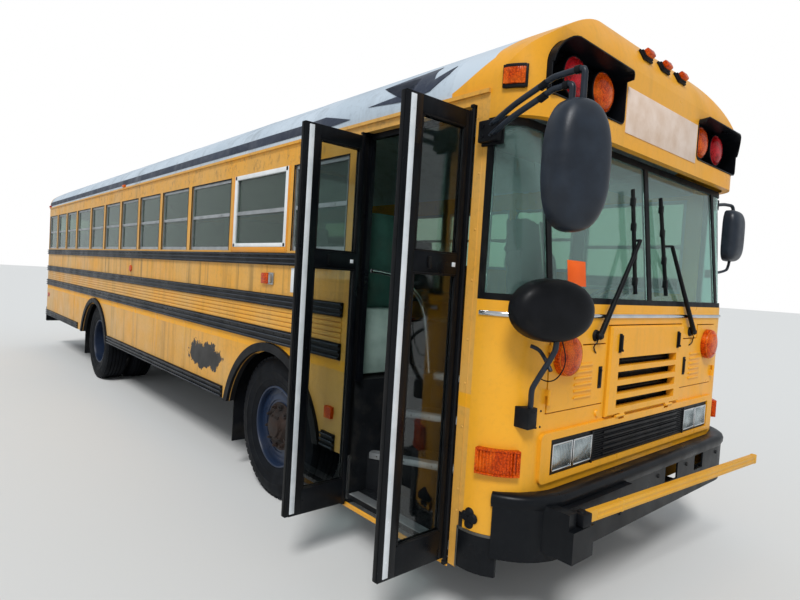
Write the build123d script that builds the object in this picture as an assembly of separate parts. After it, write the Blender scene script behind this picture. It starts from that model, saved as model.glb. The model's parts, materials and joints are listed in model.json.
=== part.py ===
from build123d import *
from math import asin, cos, pi, radians, sin, sqrt, tan
import os

# A flat-fronted school bus, in millimetres: X forward, Y to the left, Z up from the ground.
# Places along the bus are written from the foot of the windshield, negative to the rear.
SCREEN_FOOT = 5063

# Body shell
HALF_WIDTH = 1219
WALL = 45
SKIRT_Z = 564
EAVE_Z = 2470
SHOULDER_Z = 2500
SHOULDER_R = 210
CROWN_Z = 3030
REAR_X = -10379
REAR_WALL = 60
REAR_EDGE_R = 50
CAP_REAR_X = -460
NOSE_X = 0
CORNER_R = 216
BROW_R = 325
BROW_FOOT_Z = 2340
EDGE_LEAD = 2
SIDE_FRONT_X = -222
FLOOR_Z = 1000
FLOOR_T = 40

# The crown arc that meets both shoulder arcs and passes through the crown's height
SHOULDER_Y = HALF_WIDTH - SHOULDER_R
CROWN_RISE = CROWN_Z - SHOULDER_Z
CROWN_R = (SHOULDER_Y**2 + CROWN_RISE**2 - SHOULDER_R**2) / (2 * (CROWN_RISE - SHOULDER_R))

# Side windows: the rear edge of each opening, counted from the front
WINDOW_REAR_EDGES = (-1880, -2763, -3660, -4427, -5149, -5859, -6582, -7310, -8161, -8881, -9588, -10305)
FIRST_WINDOW_FRONT = -1256
PILLAR = 75
SILL_Z = 1746
WINDOW_TOP_Z = 2313
DRIVER_WINDOW = (-1150, -330)
SASH_BAR = 28
SASH_T = 24
PANE_T = 5

# Windshield
SCREEN_FOOT_Z = 1540
SCREEN_TOP_Z = 2330
SCREEN_LEAN = 88
SCREEN_RUBBER = 26
SCREEN_GLASS = 7
SCREEN_PILLAR_Y = 975
SCREEN_SIDE_X = -190

# Wheels and axles
FRONT_AXLE_X = -2080
REAR_AXLE_X = -6950
TYRE_R = 500
TYRE_W = 278
RIM_R = 286
WHEEL_Y = 1032
TWIN_GAP = 330
KINGPIN_Y = 840
SPINDLE_R = 45

# Wheel arches: opening radius, centre height
FRONT_ARCH = (640, 400)
REAR_ARCH = (665, 358)
ARCH_TRIM = 60
ARCH_TRIM_T = 24

# Rub rails on each side, as bottom and top heights
RUB_RAILS = ((1104, 1204), (1359, 1444), (1646, 1730))
SKIRT_RAIL = (566, 660)
RAIL_T = 22
RAIL_FRONT_X = -1240

# Frame
RAIL_Y = 430
FRAME_RAIL_Z = (640, 890)
FRAME_FLANGE = 80
FRAME_PLATE = 9

# Entrance: the doorway and its two swinging leaves
DOORWAY = (-1143, -295)
DOORWAY_TOP_Z = 2412
LEAF_BOTTOM_Z = 317
LEAF_TOP_Z = 2384
LEAF_T = 35
HINGE_INSET = 15
HINGE_Y = -1224
HINGE_R = 10
PIN_GAP = 0.3
LEAF_WIDTH = 404
LEAF_STILE = 42
PIVOT_FOOT_Z = 309
PIVOT_TOP_Z = 2400
STEP_Z = (335, 560, 780, FLOOR_Z)
STEP_LINE_Y = (-1178, -1048, -790, -550)
STEP_TURN = 29
STEP_INNER_Y = -450
TREAD = 30

# Moving clearances
SWING_GAP = 6
SEAT_GAP = 0.3


def along(x):
    return SCREEN_FOOT + x


def block(x, y, z):
    """A box from three pairs of low and high values, with x counted from the windshield."""
    place = Pos(along((x[0] + x[1]) / 2), (y[0] + y[1]) / 2, (z[0] + z[1]) / 2)
    return place * Box(abs(x[1] - x[0]), abs(y[1] - y[0]), abs(z[1] - z[0]))


def pair(shape):
    """A shape with its mirror image on the other side of the bus."""
    return [shape, mirror(shape, about=Plane.XZ)]


def solids_of(shapes):
    found = []
    for shape in shapes:
        found += list(shape.solids())
    return found


def save(node, *shapes):
    parts = solids_of(shapes)
    whole = parts[0] if len(parts) == 1 else Compound(children=parts)
    export_step(whole, f"parts/{node}.step")


def along_y(x, z, radius, y):
    """A round bar across the bus between two Y values."""
    return Pos(along(x), (y[0] + y[1]) / 2, z) * Rot(90, 0, 0) * Cylinder(radius, abs(y[1] - y[0]))


def along_x(y, z, radius, x):
    """A round bar along the bus between two X values."""
    return Pos(along((x[0] + x[1]) / 2), y, z) * Rot(0, 90, 0) * Cylinder(radius, abs(x[1] - x[0]))


def upright(x, y, radius, z):
    return Pos(along(x), y, (z[0] + z[1]) / 2) * Cylinder(radius, abs(z[1] - z[0]))


def polygon(points):
    return make_face(Polyline(*points, close=True))


def side_plate(points, y):
    """An outline in X and Z, as thick as the two Y values say."""
    placed = [(along(px), pz) for px, pz in points]
    return Pos(0, y[1], 0) * extrude(Plane.XZ * polygon(placed), abs(y[1] - y[0]))


def floor_plan(points, z):
    """An outline in X and Y, raised between two Z values."""
    placed = [(along(px), py) for px, py in points]
    return Pos(0, 0, z[0]) * extrude(polygon(placed), z[1] - z[0])


# Body outlines

def section(inset, foot_z):
    """The body's cross section: straight sides, two shoulder arcs and the crown arc."""
    half = HALF_WIDTH - inset
    crown_centre = CROWN_Z - CROWN_R
    reach = CROWN_R - SHOULDER_R
    side = SHOULDER_Y / reach
    rise = (SHOULDER_Z - crown_centre) / reach
    joint = ((CROWN_R - inset) * side, crown_centre + (CROWN_R - inset) * rise)
    bend = asin(rise) / 2
    middle = (SHOULDER_Y + (SHOULDER_R - inset) * cos(bend), SHOULDER_Z + (SHOULDER_R - inset) * sin(bend))
    top = (0, CROWN_Z - inset)
    lines = [
        Line((half, foot_z), (half, SHOULDER_Z)),
        ThreePointArc((half, SHOULDER_Z), middle, joint),
        ThreePointArc(joint, top, (-joint[0], joint[1])),
        ThreePointArc((-joint[0], joint[1]), (-middle[0], middle[1]), (-half, SHOULDER_Z)),
        Line((-half, SHOULDER_Z), (-half, foot_z)),
        Line((-half, foot_z), (half, foot_z)),
    ]
    return Plane.YZ * make_face(Wire(lines))


def tube_of_section(x, inset, foot_z):
    return Pos(along(x[0]), 0, 0) * extrude(section(inset, foot_z), x[1] - x[0])


def nose_plan(front, inset, rear_x, z, spread=0):
    """The plan outline of the front, with a round corner at each side."""
    half = HALF_WIDTH + spread - inset
    radius = CORNER_R - inset
    nose = front - inset
    side_x = nose - radius
    front_y = half - radius
    middle = (side_x + radius * cos(pi / 4), front_y + radius * sin(pi / 4))
    lines = [
        Line((along(rear_x), half), (along(side_x), half)),
        ThreePointArc((along(side_x), half), (along(middle[0]), middle[1]), (along(nose), front_y)),
        Line((along(nose), front_y), (along(nose), -front_y)),
        ThreePointArc((along(nose), -front_y), (along(middle[0]), -middle[1]), (along(side_x), -half)),
        Line((along(side_x), -half), (along(rear_x), -half)),
        Line((along(rear_x), -half), (along(rear_x), half)),
    ]
    return Pos(0, 0, z[0]) * extrude(make_face(Wire(lines)), z[1] - z[0])


def brow_profile(inset, foot_z):
    """The side profile of the front cap, from its upright brow back over to the crown."""
    nose = NOSE_X + EDGE_LEAD - inset
    radius = BROW_R - inset
    top = CROWN_Z + EDGE_LEAD - inset
    turn_x = NOSE_X + EDGE_LEAD - BROW_R
    turn_z = CROWN_Z + EDGE_LEAD - BROW_R
    middle = (turn_x + radius * cos(pi / 4), turn_z + radius * sin(pi / 4))
    rear = CAP_REAR_X
    lines = [
        Line((along(nose), foot_z), (along(nose), turn_z)),
        ThreePointArc((along(nose), turn_z), (along(middle[0]), middle[1]), (along(turn_x), top)),
        Line((along(turn_x), top), (along(rear), top)),
        Line((along(rear), top), (along(rear), foot_z)),
        Line((along(rear), foot_z), (along(nose), foot_z)),
    ]
    half = HALF_WIDTH + WALL
    return Pos(0, half, 0) * extrude(Plane.XZ * make_face(Wire(lines)), 2 * half)


def cap_solid(inset, foot_z):
    """The front cap's skin at a depth below its surface, as one solid."""
    tube = tube_of_section((CAP_REAR_X, NOSE_X), inset, foot_z)
    plan = nose_plan(NOSE_X, inset, CAP_REAR_X, (foot_z, CROWN_Z), EDGE_LEAD)
    return tube & brow_profile(inset, foot_z) & plan


def rear_edge_solid():
    """The rear wall as a slab with rounded outer edges."""
    slab = tube_of_section((REAR_X, REAR_X + REAR_WALL), 0, SKIRT_Z)
    half = HALF_WIDTH + EDGE_LEAD
    turn_x = REAR_X + REAR_EDGE_R
    turn_y = half - REAR_EDGE_R
    slope = REAR_EDGE_R * (1 - cos(pi / 4))
    front = REAR_X + REAR_WALL
    lines = [
        Line((along(front), half), (along(turn_x), half)),
        ThreePointArc((along(turn_x), half), (along(REAR_X + slope), half - slope), (along(REAR_X), turn_y)),
        Line((along(REAR_X), turn_y), (along(REAR_X), -turn_y)),
        ThreePointArc((along(REAR_X), -turn_y), (along(REAR_X + slope), slope - half), (along(turn_x), -half)),
        Line((along(turn_x), -half), (along(front), -half)),
        Line((along(front), -half), (along(front), half)),
    ]
    plan = Pos(0, 0, SKIRT_Z) * extrude(make_face(Wire(lines)), CROWN_Z - SKIRT_Z)
    top = CROWN_Z + EDGE_LEAD
    turn_z = top - REAR_EDGE_R
    lines = [
        Line((along(front), SKIRT_Z), (along(front), top)),
        Line((along(front), top), (along(turn_x), top)),
        ThreePointArc((along(turn_x), top), (along(REAR_X + slope), top - slope), (along(REAR_X), turn_z)),
        Line((along(REAR_X), turn_z), (along(REAR_X), SKIRT_Z)),
        Line((along(REAR_X), SKIRT_Z), (along(front), SKIRT_Z)),
    ]
    profile = Pos(0, half, 0) * extrude(Plane.XZ * make_face(Wire(lines)), 2 * half)
    return slab & plan & profile


# Side walls

def window_openings():
    """Front and rear edges of the passenger windows, from the front."""
    openings = []
    front = FIRST_WINDOW_FRONT
    for rear in WINDOW_REAR_EDGES:
        openings.append((rear, front))
        front = rear - PILLAR
    return openings


def arch_cut(axle_x, arch, y):
    radius, centre_z = arch
    return along_y(axle_x, centre_z, radius, y)


def wall_cuts(y):
    cuts = [block(edges, y, (SILL_Z, WINDOW_TOP_Z)) for edges in window_openings()]
    cuts += [arch_cut(FRONT_AXLE_X, FRONT_ARCH, y), arch_cut(REAR_AXLE_X, REAR_ARCH, y)]
    return cuts


def drip_edge(side):
    y = (side * HALF_WIDTH, side * (HALF_WIDTH + 14))
    return block((REAR_X + REAR_WALL, SIDE_FRONT_X), y, (EAVE_Z - 18, EAVE_Z))


def right_wall():
    y = (-HALF_WIDTH, WALL - HALF_WIDTH)
    reach = (y[0] - 1, y[1] + 1)
    wall = block((REAR_X + REAR_WALL, SIDE_FRONT_X), y, (SKIRT_Z, EAVE_Z))
    wall += block((DOORWAY[1], CORNER_SKIRT[0]), y, (300, SKIRT_Z + 1))
    wall -= wall_cuts(reach)
    wall -= block(DOORWAY, reach, (SKIRT_Z - 1, DOORWAY_TOP_Z))
    wall += drip_edge(-1)
    return wall


def left_wall():
    y = (HALF_WIDTH - WALL, HALF_WIDTH)
    reach = (y[0] - 1, y[1] + 1)
    wall = block((REAR_X + REAR_WALL, SIDE_FRONT_X), y, (SKIRT_Z, EAVE_Z))
    wall -= wall_cuts(reach)
    wall -= block(DRIVER_WINDOW, reach, (SILL_Z - 130, WINDOW_TOP_Z))
    wall += drip_edge(1)
    return wall


def sash(edges, z, y_mid, side_bar=True):
    """A window frame of bars with a middle rail, and its two panes."""
    low, high = edges
    inner = (low + SASH_BAR, high - SASH_BAR)
    middle = (z[0] + z[1]) / 2
    lower = (z[0] + SASH_BAR, middle - SASH_BAR / 2)
    upper = (middle + SASH_BAR / 2, z[1] - SASH_BAR)
    deep = (y_mid - SASH_T / 2, y_mid + SASH_T / 2)
    frame = block(edges, deep, z)
    frame -= block(inner, (deep[0] - 1, deep[1] + 1), lower)
    frame -= block(inner, (deep[0] - 1, deep[1] + 1), upper)
    glass = (y_mid - PANE_T / 2, y_mid + PANE_T / 2)
    return frame, [block(inner, glass, lower), block(inner, glass, upper)]


def side_windows():
    frames = []
    panes = []
    y_mid = HALF_WIDTH - WALL / 2
    for edges in window_openings():
        frame, glass = sash(edges, (SILL_Z, WINDOW_TOP_Z), y_mid)
        frames += pair(frame)
        for pane in glass:
            panes += pair(pane)
    frame, glass = sash(DRIVER_WINDOW, (SILL_Z - 130, WINDOW_TOP_Z), y_mid)
    frames.append(frame)
    panes += glass
    return frames, panes


# Front

def front_cap():
    cap = cap_solid(0, BROW_FOOT_Z) - cap_solid(WALL, BROW_FOOT_Z - 1)
    below_eave = block((CAP_REAR_X - 1, SIDE_FRONT_X), (-HALF_WIDTH - 1, HALF_WIDTH + 1), (BROW_FOOT_Z - 1, EAVE_Z))
    cap -= below_eave
    pocket = lamp_recess(0, (RECESS_X, NOSE_X + VISOR_REACH))
    return cap - pair(pocket)


COWL_FOOT_Z = 490
COWL_TOP_Z = SCREEN_FOOT_Z
COWL_T = 40
HOOD = (445, 955, 1437)
HOOD_LIFT = 20
HOOD_SLOTS = (350, 1001, 73, 44)
ACCESS_DOOR = (462, 962, 1034, 1430)
ROUND_LAMP = (840, 1300, 92, 36)
WIPER_NOTCH = (680, 1345)
HINGE_OUT = 16
HINGE_PIN_R = 8
HOOD_PIN_Z = 956
HOOD_BARREL = (250, 300)
ACCESS_KNUCKLES = (1080, 1280)
GRILLE = (915, 745, 914)
SURROUND = (994, 718, 950)
SURROUND_T = 16


def front_cowl():
    cowl = nose_plan(NOSE_X, 0, SIDE_FRONT_X, (COWL_FOOT_Z, COWL_TOP_Z))
    cowl -= nose_plan(NOSE_X, COWL_T, SIDE_FRONT_X - 1, (COWL_FOOT_Z - 1, COWL_TOP_Z - COWL_T))
    through = (NOSE_X - COWL_T - 1, NOSE_X + SURROUND_T + 1)
    cowl -= nose_plan(NOSE_X, 200, SIDE_FRONT_X - 1, (COWL_TOP_Z - COWL_T - 1, COWL_TOP_Z + 1))
    raised = block((NOSE_X - 5, NOSE_X + SURROUND_T), (-SURROUND[0], SURROUND[0]), SURROUND[1:])
    cowl += fillet(raised.edges().filter_by(Axis.X), 30)
    cowl -= block(through, (-GRILLE[0], GRILLE[0]), GRILLE[1:])
    half, low, high = HOOD
    cowl -= block(through, (-half, half), (low, high))
    inner, outer, low, high = ACCESS_DOOR
    for side in (-1, 1):
        cowl -= block(through, (side * inner, side * outer), (low, WIPER_NOTCH[1]))
        cowl -= block(through, (side * WIPER_NOTCH[0], side * outer), (low, high))
        y = sorted((side * (HOOD_BARREL[0] - SWING_GAP), side * (HOOD_BARREL[1] + PIN_GAP)))
        cowl -= block((NOSE_X + 1, NOSE_X + SURROUND_T + 1), y, (HOOD_PIN_Z - 20, HOOD_PIN_Z + 20))
        y = sorted((side * (HOOD_BARREL[1] + PIN_GAP), side * (HOOD_BARREL[1] + 40)))
        cowl += along_y(NOSE_X + HINGE_OUT, HOOD_PIN_Z, HINGE_PIN_R, y)
        for z in ACCESS_KNUCKLES:
            heights = (z + 40 + PIN_GAP, z + 70)
            cowl += upright(NOSE_X + HINGE_OUT, side * outer, HINGE_PIN_R, heights)
            cowl += block((NOSE_X - 4, NOSE_X + HINGE_OUT), sorted((side * outer, side * (outer + 8))), heights)
    return cowl


def grille():
    half = GRILLE[0] - SEAT_GAP
    low = GRILLE[1] + SEAT_GAP
    high = GRILLE[2] - SEAT_GAP
    panel = block((NOSE_X - 30, NOSE_X + 6), (-half, half), (low, high))
    for inner, outer in LAMP_SPANS:
        for side in (-1, 1):
            panel -= block((NOSE_X - 18, NOSE_X + 7), (side * inner, side * outer), LAMP_HEIGHTS)
    ribs = 5
    pitch = (high - low) / (ribs + 1)
    for count in range(1, ribs + 1):
        z = low + count * pitch
        panel += block((NOSE_X + 6, NOSE_X + 16), (-440, 440), (z - 5, z + 5))
    return panel


LAMP_SPANS = ((552, 718), (730, 895))
LAMP_HEIGHTS = (762, 888)


def headlamps():
    lamps = []
    low, high = LAMP_HEIGHTS
    for inner, outer in LAMP_SPANS:
        lamp = block((NOSE_X - 18, NOSE_X + 10), (inner + SEAT_GAP, outer - SEAT_GAP), (low + SEAT_GAP, high - SEAT_GAP))
        lamps += pair(lamp)
    return lamps


def hood_panel():
    half, low, high = HOOD
    half -= SWING_GAP
    low += SWING_GAP
    high -= SWING_GAP
    face = NOSE_X + HOOD_LIFT
    panel = block((NOSE_X - 22, face), (-half, half), (low, high))
    panel = chamfer(panel.faces().sort_by(Axis.X)[-1].edges(), 10)
    reach, foot, pitch, tall = HOOD_SLOTS
    for count in range(4):
        z = foot + count * pitch
        panel -= block((NOSE_X - 23, face + 1), (-reach, reach), (z, z + tall))
    for side in (-1, 1):
        y = sorted((side * HOOD_BARREL[0], side * HOOD_BARREL[1]))
        panel += along_y(NOSE_X + HINGE_OUT, HOOD_PIN_Z, HINGE_PIN_R, y)
        panel += block((NOSE_X + 8, face), y, (HOOD_PIN_Z, HOOD_PIN_Z + 30))
        y = sorted((side * HOOD_BARREL[1], side * (HOOD_BARREL[1] + 40 + SWING_GAP)))
        panel -= block((NOSE_X + 1, face + 1), y, (low - 1, HOOD_PIN_Z + HINGE_PIN_R + SWING_GAP))
    return panel


def access_door(side):
    inner, outer, low, high = ACCESS_DOOR
    inner += SWING_GAP
    outer -= SWING_GAP
    x = (NOSE_X - 20, NOSE_X + 4)
    leaf = block(x, (side * inner, side * outer), (low + SWING_GAP, WIPER_NOTCH[1] - SWING_GAP))
    leaf += block(x, (side * (WIPER_NOTCH[0] + SWING_GAP), side * outer), (low + SWING_GAP, high - SWING_GAP))
    lamp_y, lamp_z, radius, deep = ROUND_LAMP
    leaf += along_x(side * lamp_y, lamp_z, radius, (NOSE_X + 4, NOSE_X + 4 + deep))
    pin_y = side * ACCESS_DOOR[1]
    for z in ACCESS_KNUCKLES:
        heights = (z, z + 40)
        leaf += upright(NOSE_X + HINGE_OUT, pin_y, HINGE_PIN_R, heights)
        leaf += block((NOSE_X + 4, NOSE_X + HINGE_OUT), sorted((pin_y, pin_y - side * 24)), heights)
    return leaf


def screen_outline(inset, z, nose):
    """One level of the windshield: a flat front and two round corners."""
    half = HALF_WIDTH - inset
    front = nose - inset
    radius = front - SIDE_FRONT_X
    side_y = half - radius
    middle = (SIDE_FRONT_X + radius * cos(pi / 4), side_y + radius * sin(pi / 4))
    lines = [
        ThreePointArc((along(SIDE_FRONT_X), half, z), (along(middle[0]), middle[1], z), (along(front), side_y, z)),
        Line((along(front), side_y, z), (along(front), -side_y, z)),
        ThreePointArc((along(front), -side_y, z), (along(middle[0]), -middle[1], z), (along(SIDE_FRONT_X), -half, z)),
        Line((along(SIDE_FRONT_X), -half, z), (along(SIDE_FRONT_X), half, z)),
    ]
    return make_face(Wire(lines))


def screen_skin(outer, inner):
    """A leaning shell that follows the windshield between two depths."""
    layers = []
    for inset in (outer, inner):
        foot = screen_outline(inset, SCREEN_FOOT_Z, 0)
        top = screen_outline(inset, BROW_FOOT_Z, -SCREEN_LEAN)
        layers.append(loft([foot, top], ruled=True))
    return layers[0] - layers[1]


def screen_bays(gap):
    """The four windshield openings, each smaller all round by a gap."""
    low = SCREEN_FOOT_Z + 30 + gap
    high = SCREEN_TOP_Z - 25 - gap
    bays = []
    for side in (-1, 1):
        main = block((-300, 100), (side * (22 + gap), side * (SCREEN_PILLAR_Y - 18 - gap)), (low, high))
        corner = block((SCREEN_SIDE_X + gap, 100), (side * (SCREEN_PILLAR_Y + 18 + gap), side * 1400), (low, high))
        bays += [main, corner]
    return bays


def windshield():
    frame = screen_skin(0, SCREEN_RUBBER) - screen_bays(0)
    skin = screen_skin(9, 9 + SCREEN_GLASS)
    panes = [skin & bay for bay in screen_bays(SEAT_GAP)]
    return frame, panes


def bumper_shell(front_x, rear_x, half, radius, z, inset):
    nose = front_x - inset
    width = half - inset
    corner = radius - inset
    side_x = nose - corner
    front_y = width - corner
    middle = (side_x + corner * cos(pi / 4), front_y + corner * sin(pi / 4))
    lines = [
        Line((along(rear_x), width), (along(side_x), width)),
        ThreePointArc((along(side_x), width), (along(middle[0]), middle[1]), (along(nose), front_y)),
        Line((along(nose), front_y), (along(nose), -front_y)),
        ThreePointArc((along(nose), -front_y), (along(middle[0]), -middle[1]), (along(side_x), -width)),
        Line((along(side_x), -width), (along(rear_x), -width)),
        Line((along(rear_x), -width), (along(rear_x), width)),
    ]
    return Pos(0, 0, z[0] + inset) * extrude(make_face(Wire(lines)), z[1] - z[0] - 2 * inset)


BUMPER_Z = (405, 690)
BUMPER_FRONT_X = 110
BUMPER_REAR_X = -80
BUMPER_CORNER_R = 330
BUMPER_FLANGE = 85
BUMPER_T = 10
BUMPER_HOLES = ((110, 275), (518, 647))
CORNER_SKIRT = (-250, -70, 310)


def front_bumper():
    """A pressed channel that wraps round the corners, open to the rear."""
    half = HALF_WIDTH + 3
    back = BUMPER_FRONT_X - BUMPER_CORNER_R - 20
    bumper = bumper_shell(BUMPER_FRONT_X, back, half, BUMPER_CORNER_R, BUMPER_Z, 0)
    bumper -= bumper_shell(BUMPER_FRONT_X, back - 1, half, BUMPER_CORNER_R, BUMPER_Z, BUMPER_T)
    tall = (BUMPER_Z[0] - BUMPER_FLANGE - 5, BUMPER_Z[1] + BUMPER_FLANGE + 5)
    bumper -= bumper_shell(BUMPER_FRONT_X, back - 1, half, BUMPER_CORNER_R, tall, BUMPER_FLANGE)
    bumper -= block((back - 1, BUMPER_REAR_X), (-half - 1, half + 1), (BUMPER_Z[0] - 1, BUMPER_Z[1] + 1))
    bumper -= nose_plan(NOSE_X, -SWING_GAP, SIDE_FRONT_X, (COWL_FOOT_Z - SWING_GAP, BUMPER_Z[1] + 1))
    for y in BUMPER_HOLES:
        bumper -= block((0, BUMPER_FRONT_X + 1), y, (540, 650))
    return bumper


def corner_skirts():
    """The black sheet below each front corner of the cowl."""
    rear, front, foot = CORNER_SKIRT
    z = (foot, COWL_FOOT_Z)
    shell = nose_plan(NOSE_X, 0, rear + SEAT_GAP, z) - nose_plan(NOSE_X, 8, rear - 1, (foot - 1, COWL_FOOT_Z + 1))
    return pair(shell & block((rear, front), (0, HALF_WIDTH + 1), z))


# Chassis

def channel(x, side):
    """A frame rail of C section with its flanges turned inwards."""
    y_out = side * RAIL_Y
    y_in = side * (RAIL_Y - FRAME_FLANGE)
    rail = block(x, (y_out, y_in), FRAME_RAIL_Z)
    hollow = (side * (RAIL_Y - FRAME_PLATE), side * (RAIL_Y - FRAME_FLANGE - 1))
    rail -= block((x[0] - 1, x[1] + 1), hollow, (FRAME_RAIL_Z[0] + FRAME_PLATE, FRAME_RAIL_Z[1] - FRAME_PLATE))
    return rail


CROSS_MEMBERS = (-80, -2350, -3500, -4600, -5700, -6350, -7550, -8400, -9300, -10270)


def chassis_frame():
    x = (REAR_X + REAR_WALL, NOSE_X - COWL_T - 5)
    frame = channel(x, 1) + channel(x, -1)
    for side in (-1, 1):
        y = (side * (RAIL_Y - FRAME_FLANGE), side * RAIL_Y)
        frame += block((-300, x[1]), y, (BUMPER_Z[0] + BUMPER_T, FRAME_RAIL_Z[0]))
        frame += block((x[1], BUMPER_FRONT_X - BUMPER_T), y, (BUMPER_Z[0] + BUMPER_T, COWL_FOOT_Z - 6))
    for place in CROSS_MEMBERS:
        frame += block((place - 30, place + 30), (FRAME_PLATE - RAIL_Y, RAIL_Y - FRAME_PLATE), (690, 840))
    return frame


WHEELHOUSE_TOP_Z = 1060
FRONT_HOUSE = (-2700, -1460, 580)
REAR_HOUSE = (-7580, -6320, 540)
HOUSE_T = 12
ENGINE_HATCH = (-1500, -60, 425)
INSIDE_Y = HALF_WIDTH - WALL


def step_line(level, x):
    return STEP_LINE_Y[level] + (x - DOORWAY[0]) * tan(radians(STEP_TURN))


def step_area(level, grow=0):
    """The plan of the stepwell from one nosing line to the inner wall, cut off at the cowl."""
    x0 = DOORWAY[0] - grow
    x1 = DOORWAY[1] + grow
    inner = STEP_INNER_Y + grow
    if level == 0:
        return [(x0, STEP_LINE_Y[0]), (x1, STEP_LINE_Y[0]), (x1, inner), (x0, inner)]
    y0 = step_line(level, x0)
    y1 = step_line(level, x1)
    if y1 <= inner:
        return [(x0, y0), (x1, y1), (x1, inner), (x0, inner)]
    cross = x0 + (inner - y0) / tan(radians(STEP_TURN))
    return [(x0, y0), (cross, inner), (x0, inner)]


def floor():
    deck = block((REAR_X + REAR_WALL, NOSE_X - COWL_T), (-INSIDE_Y, INSIDE_Y), (FLOOR_Z - FLOOR_T, FLOOR_Z))
    deck &= nose_plan(NOSE_X, COWL_T, REAR_X, (0, FLOOR_Z))
    x_low, x_high, half = ENGINE_HATCH
    deck -= block((x_low, x_high), (-half, half), (0, FLOOR_Z + 1))
    deck -= floor_plan(step_area(0, 12 + SEAT_GAP), (FLOOR_Z - FLOOR_T - 1, FLOOR_Z + 1))
    deck -= block((DOORWAY[0] - 12.3, DOORWAY[1] + 12.3), (-INSIDE_Y - 1, STEP_LINE_Y[0] + 40), (900, FLOOR_Z + 1))
    for low, high, inner in (FRONT_HOUSE, REAR_HOUSE):
        for side in (-1, 1):
            outer = block((low, high), (side * inner, side * INSIDE_Y), (FLOOR_Z - FLOOR_T, WHEELHOUSE_TOP_Z + HOUSE_T))
            deck += outer
            deck -= block((low + HOUSE_T, high - HOUSE_T), (side * (inner + HOUSE_T), side * (INSIDE_Y + 1)), (900, WHEELHOUSE_TOP_Z))
    for place in range(-10200, -2800, 720):
        if not REAR_HOUSE[0] - 60 < place < REAR_HOUSE[1] + 60:
            deck += block((place - 20, place + 20), (-INSIDE_Y, INSIDE_Y), (FRAME_RAIL_Z[1], FLOOR_Z - FLOOR_T))
    return deck


def entrance_steps():
    """Three treads at a turn to the doorway, with risers between them and a plate at each end."""
    well = None
    for level in range(3):
        z = STEP_Z[level]
        tread = floor_plan(step_area(level), (z - TREAD, z))
        if level < 2:
            beyond = floor_plan(step_area(level + 1), (z - TREAD - 1, z + 1))
            shifted = Pos(12, 12, 0) * beyond
            tread -= shifted & beyond
        well = tread if well is None else well + tread
    for level in (1, 2, 3):
        area = floor_plan(step_area(level), (STEP_Z[level - 1], STEP_Z[level]))
        well += area - Pos(0, 12, 0) * area
    x0, x1 = DOORWAY
    low = STEP_Z[0] - TREAD
    for x in ((x0 - 12, x0), (x1, x1 + 12)):
        well += block(x, (-INSIDE_Y, STEP_INNER_Y), (low, FLOOR_Z))
    well += block((x0 - 12, x1 + 12), (STEP_INNER_Y, STEP_INNER_Y + 12), (low, FLOOR_Z))
    for x in hinge_places():
        ear = block((x - 9, x + 9), (HINGE_Y - 14, STEP_LINE_Y[0]), (PIVOT_FOOT_Z - 18, PIVOT_FOOT_Z - PIN_GAP))
        well += ear
        well += block((x - 9, x + 9), (STEP_LINE_Y[0] - 1, STEP_LINE_Y[0] + 20), (PIVOT_FOOT_Z - 18, low + 1))
    return well


def door_frame():
    """The black ring behind the doorway that the closed leaves rest against, with the pivot ears."""
    x0, x1 = DOORWAY
    y = (WALL - HALF_WIDTH, WALL - HALF_WIDTH + 30)
    z = (FLOOR_Z, DOORWAY_TOP_Z + 30)
    ring = block((x0 - 30, x1 + 30), y, z)
    ring -= block((x0 + 30, x1 - 30), (y[0] - 1, y[1] + 1), (z[0] - 1, DOORWAY_TOP_Z - 30))
    for x in hinge_places():
        top = block((x - 9, x + 9), (HINGE_Y - 14, y[0]), (PIVOT_TOP_Z, DOORWAY_TOP_Z))
        ring += top
    return ring


def hinge_places():
    return (DOORWAY[0] + HINGE_INSET, DOORWAY[1] - HINGE_INSET)


def door_leaf(front):
    """One open leaf, square to the side of the bus, with its hinge tube and two panes."""
    hinge_x = hinge_places()[1 if front else 0]
    turn = -1 if front else 1
    x = (hinge_x + turn * 5, hinge_x + turn * (5 + LEAF_T))
    y = (HINGE_Y - LEAF_WIDTH, HINGE_Y - HINGE_R - 2)
    leaf = block(x, y, (LEAF_BOTTOM_Z, LEAF_TOP_Z))
    middle = 1330
    panes = []
    for z in ((LEAF_BOTTOM_Z + 150, middle - 30), (middle + 30, LEAF_TOP_Z - LEAF_STILE)):
        hole_y = (y[0] + LEAF_STILE, y[1] - LEAF_STILE)
        leaf -= block((x[0] - turn, x[1] + turn), hole_y, z)
        glass_x = (x[0] + x[1]) / 2
        panes.append(block((glass_x - 3, glass_x + 3), hole_y, z))
    tube = upright(hinge_x, HINGE_Y, HINGE_R, (PIVOT_FOOT_Z, PIVOT_TOP_Z - PIN_GAP))
    web = block((hinge_x, hinge_x + turn * 20), (HINGE_Y - 14, HINGE_Y - 2), (LEAF_BOTTOM_Z, LEAF_TOP_Z))
    return leaf + tube + web, panes


# Wheels

def ring_about_y(points, y_mid, x, z):
    """A turned ring: its outline in radius and width, spun about a line across the bus."""
    outline = Plane.XZ * polygon([(radius, width) for radius, width in points])
    turned = revolve(outline, Axis.Z)
    return Pos(along(x), y_mid, z) * Rot(90, 0, 0) * turned


def tyre(x, y):
    half = TYRE_W / 2
    outline = (
        (RIM_R, -half * 0.74),
        (RIM_R + 30, -half * 0.92),
        (RIM_R + 95, -half),
        (TYRE_R - 70, -half),
        (TYRE_R - 22, -half * 0.86),
        (TYRE_R, -half * 0.76),
        (TYRE_R, half * 0.76),
        (TYRE_R - 22, half * 0.86),
        (TYRE_R - 70, half),
        (RIM_R + 95, half),
        (RIM_R + 30, half * 0.92),
        (RIM_R, half * 0.74),
    )
    return ring_about_y(outline, y, x, TYRE_R)


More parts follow.
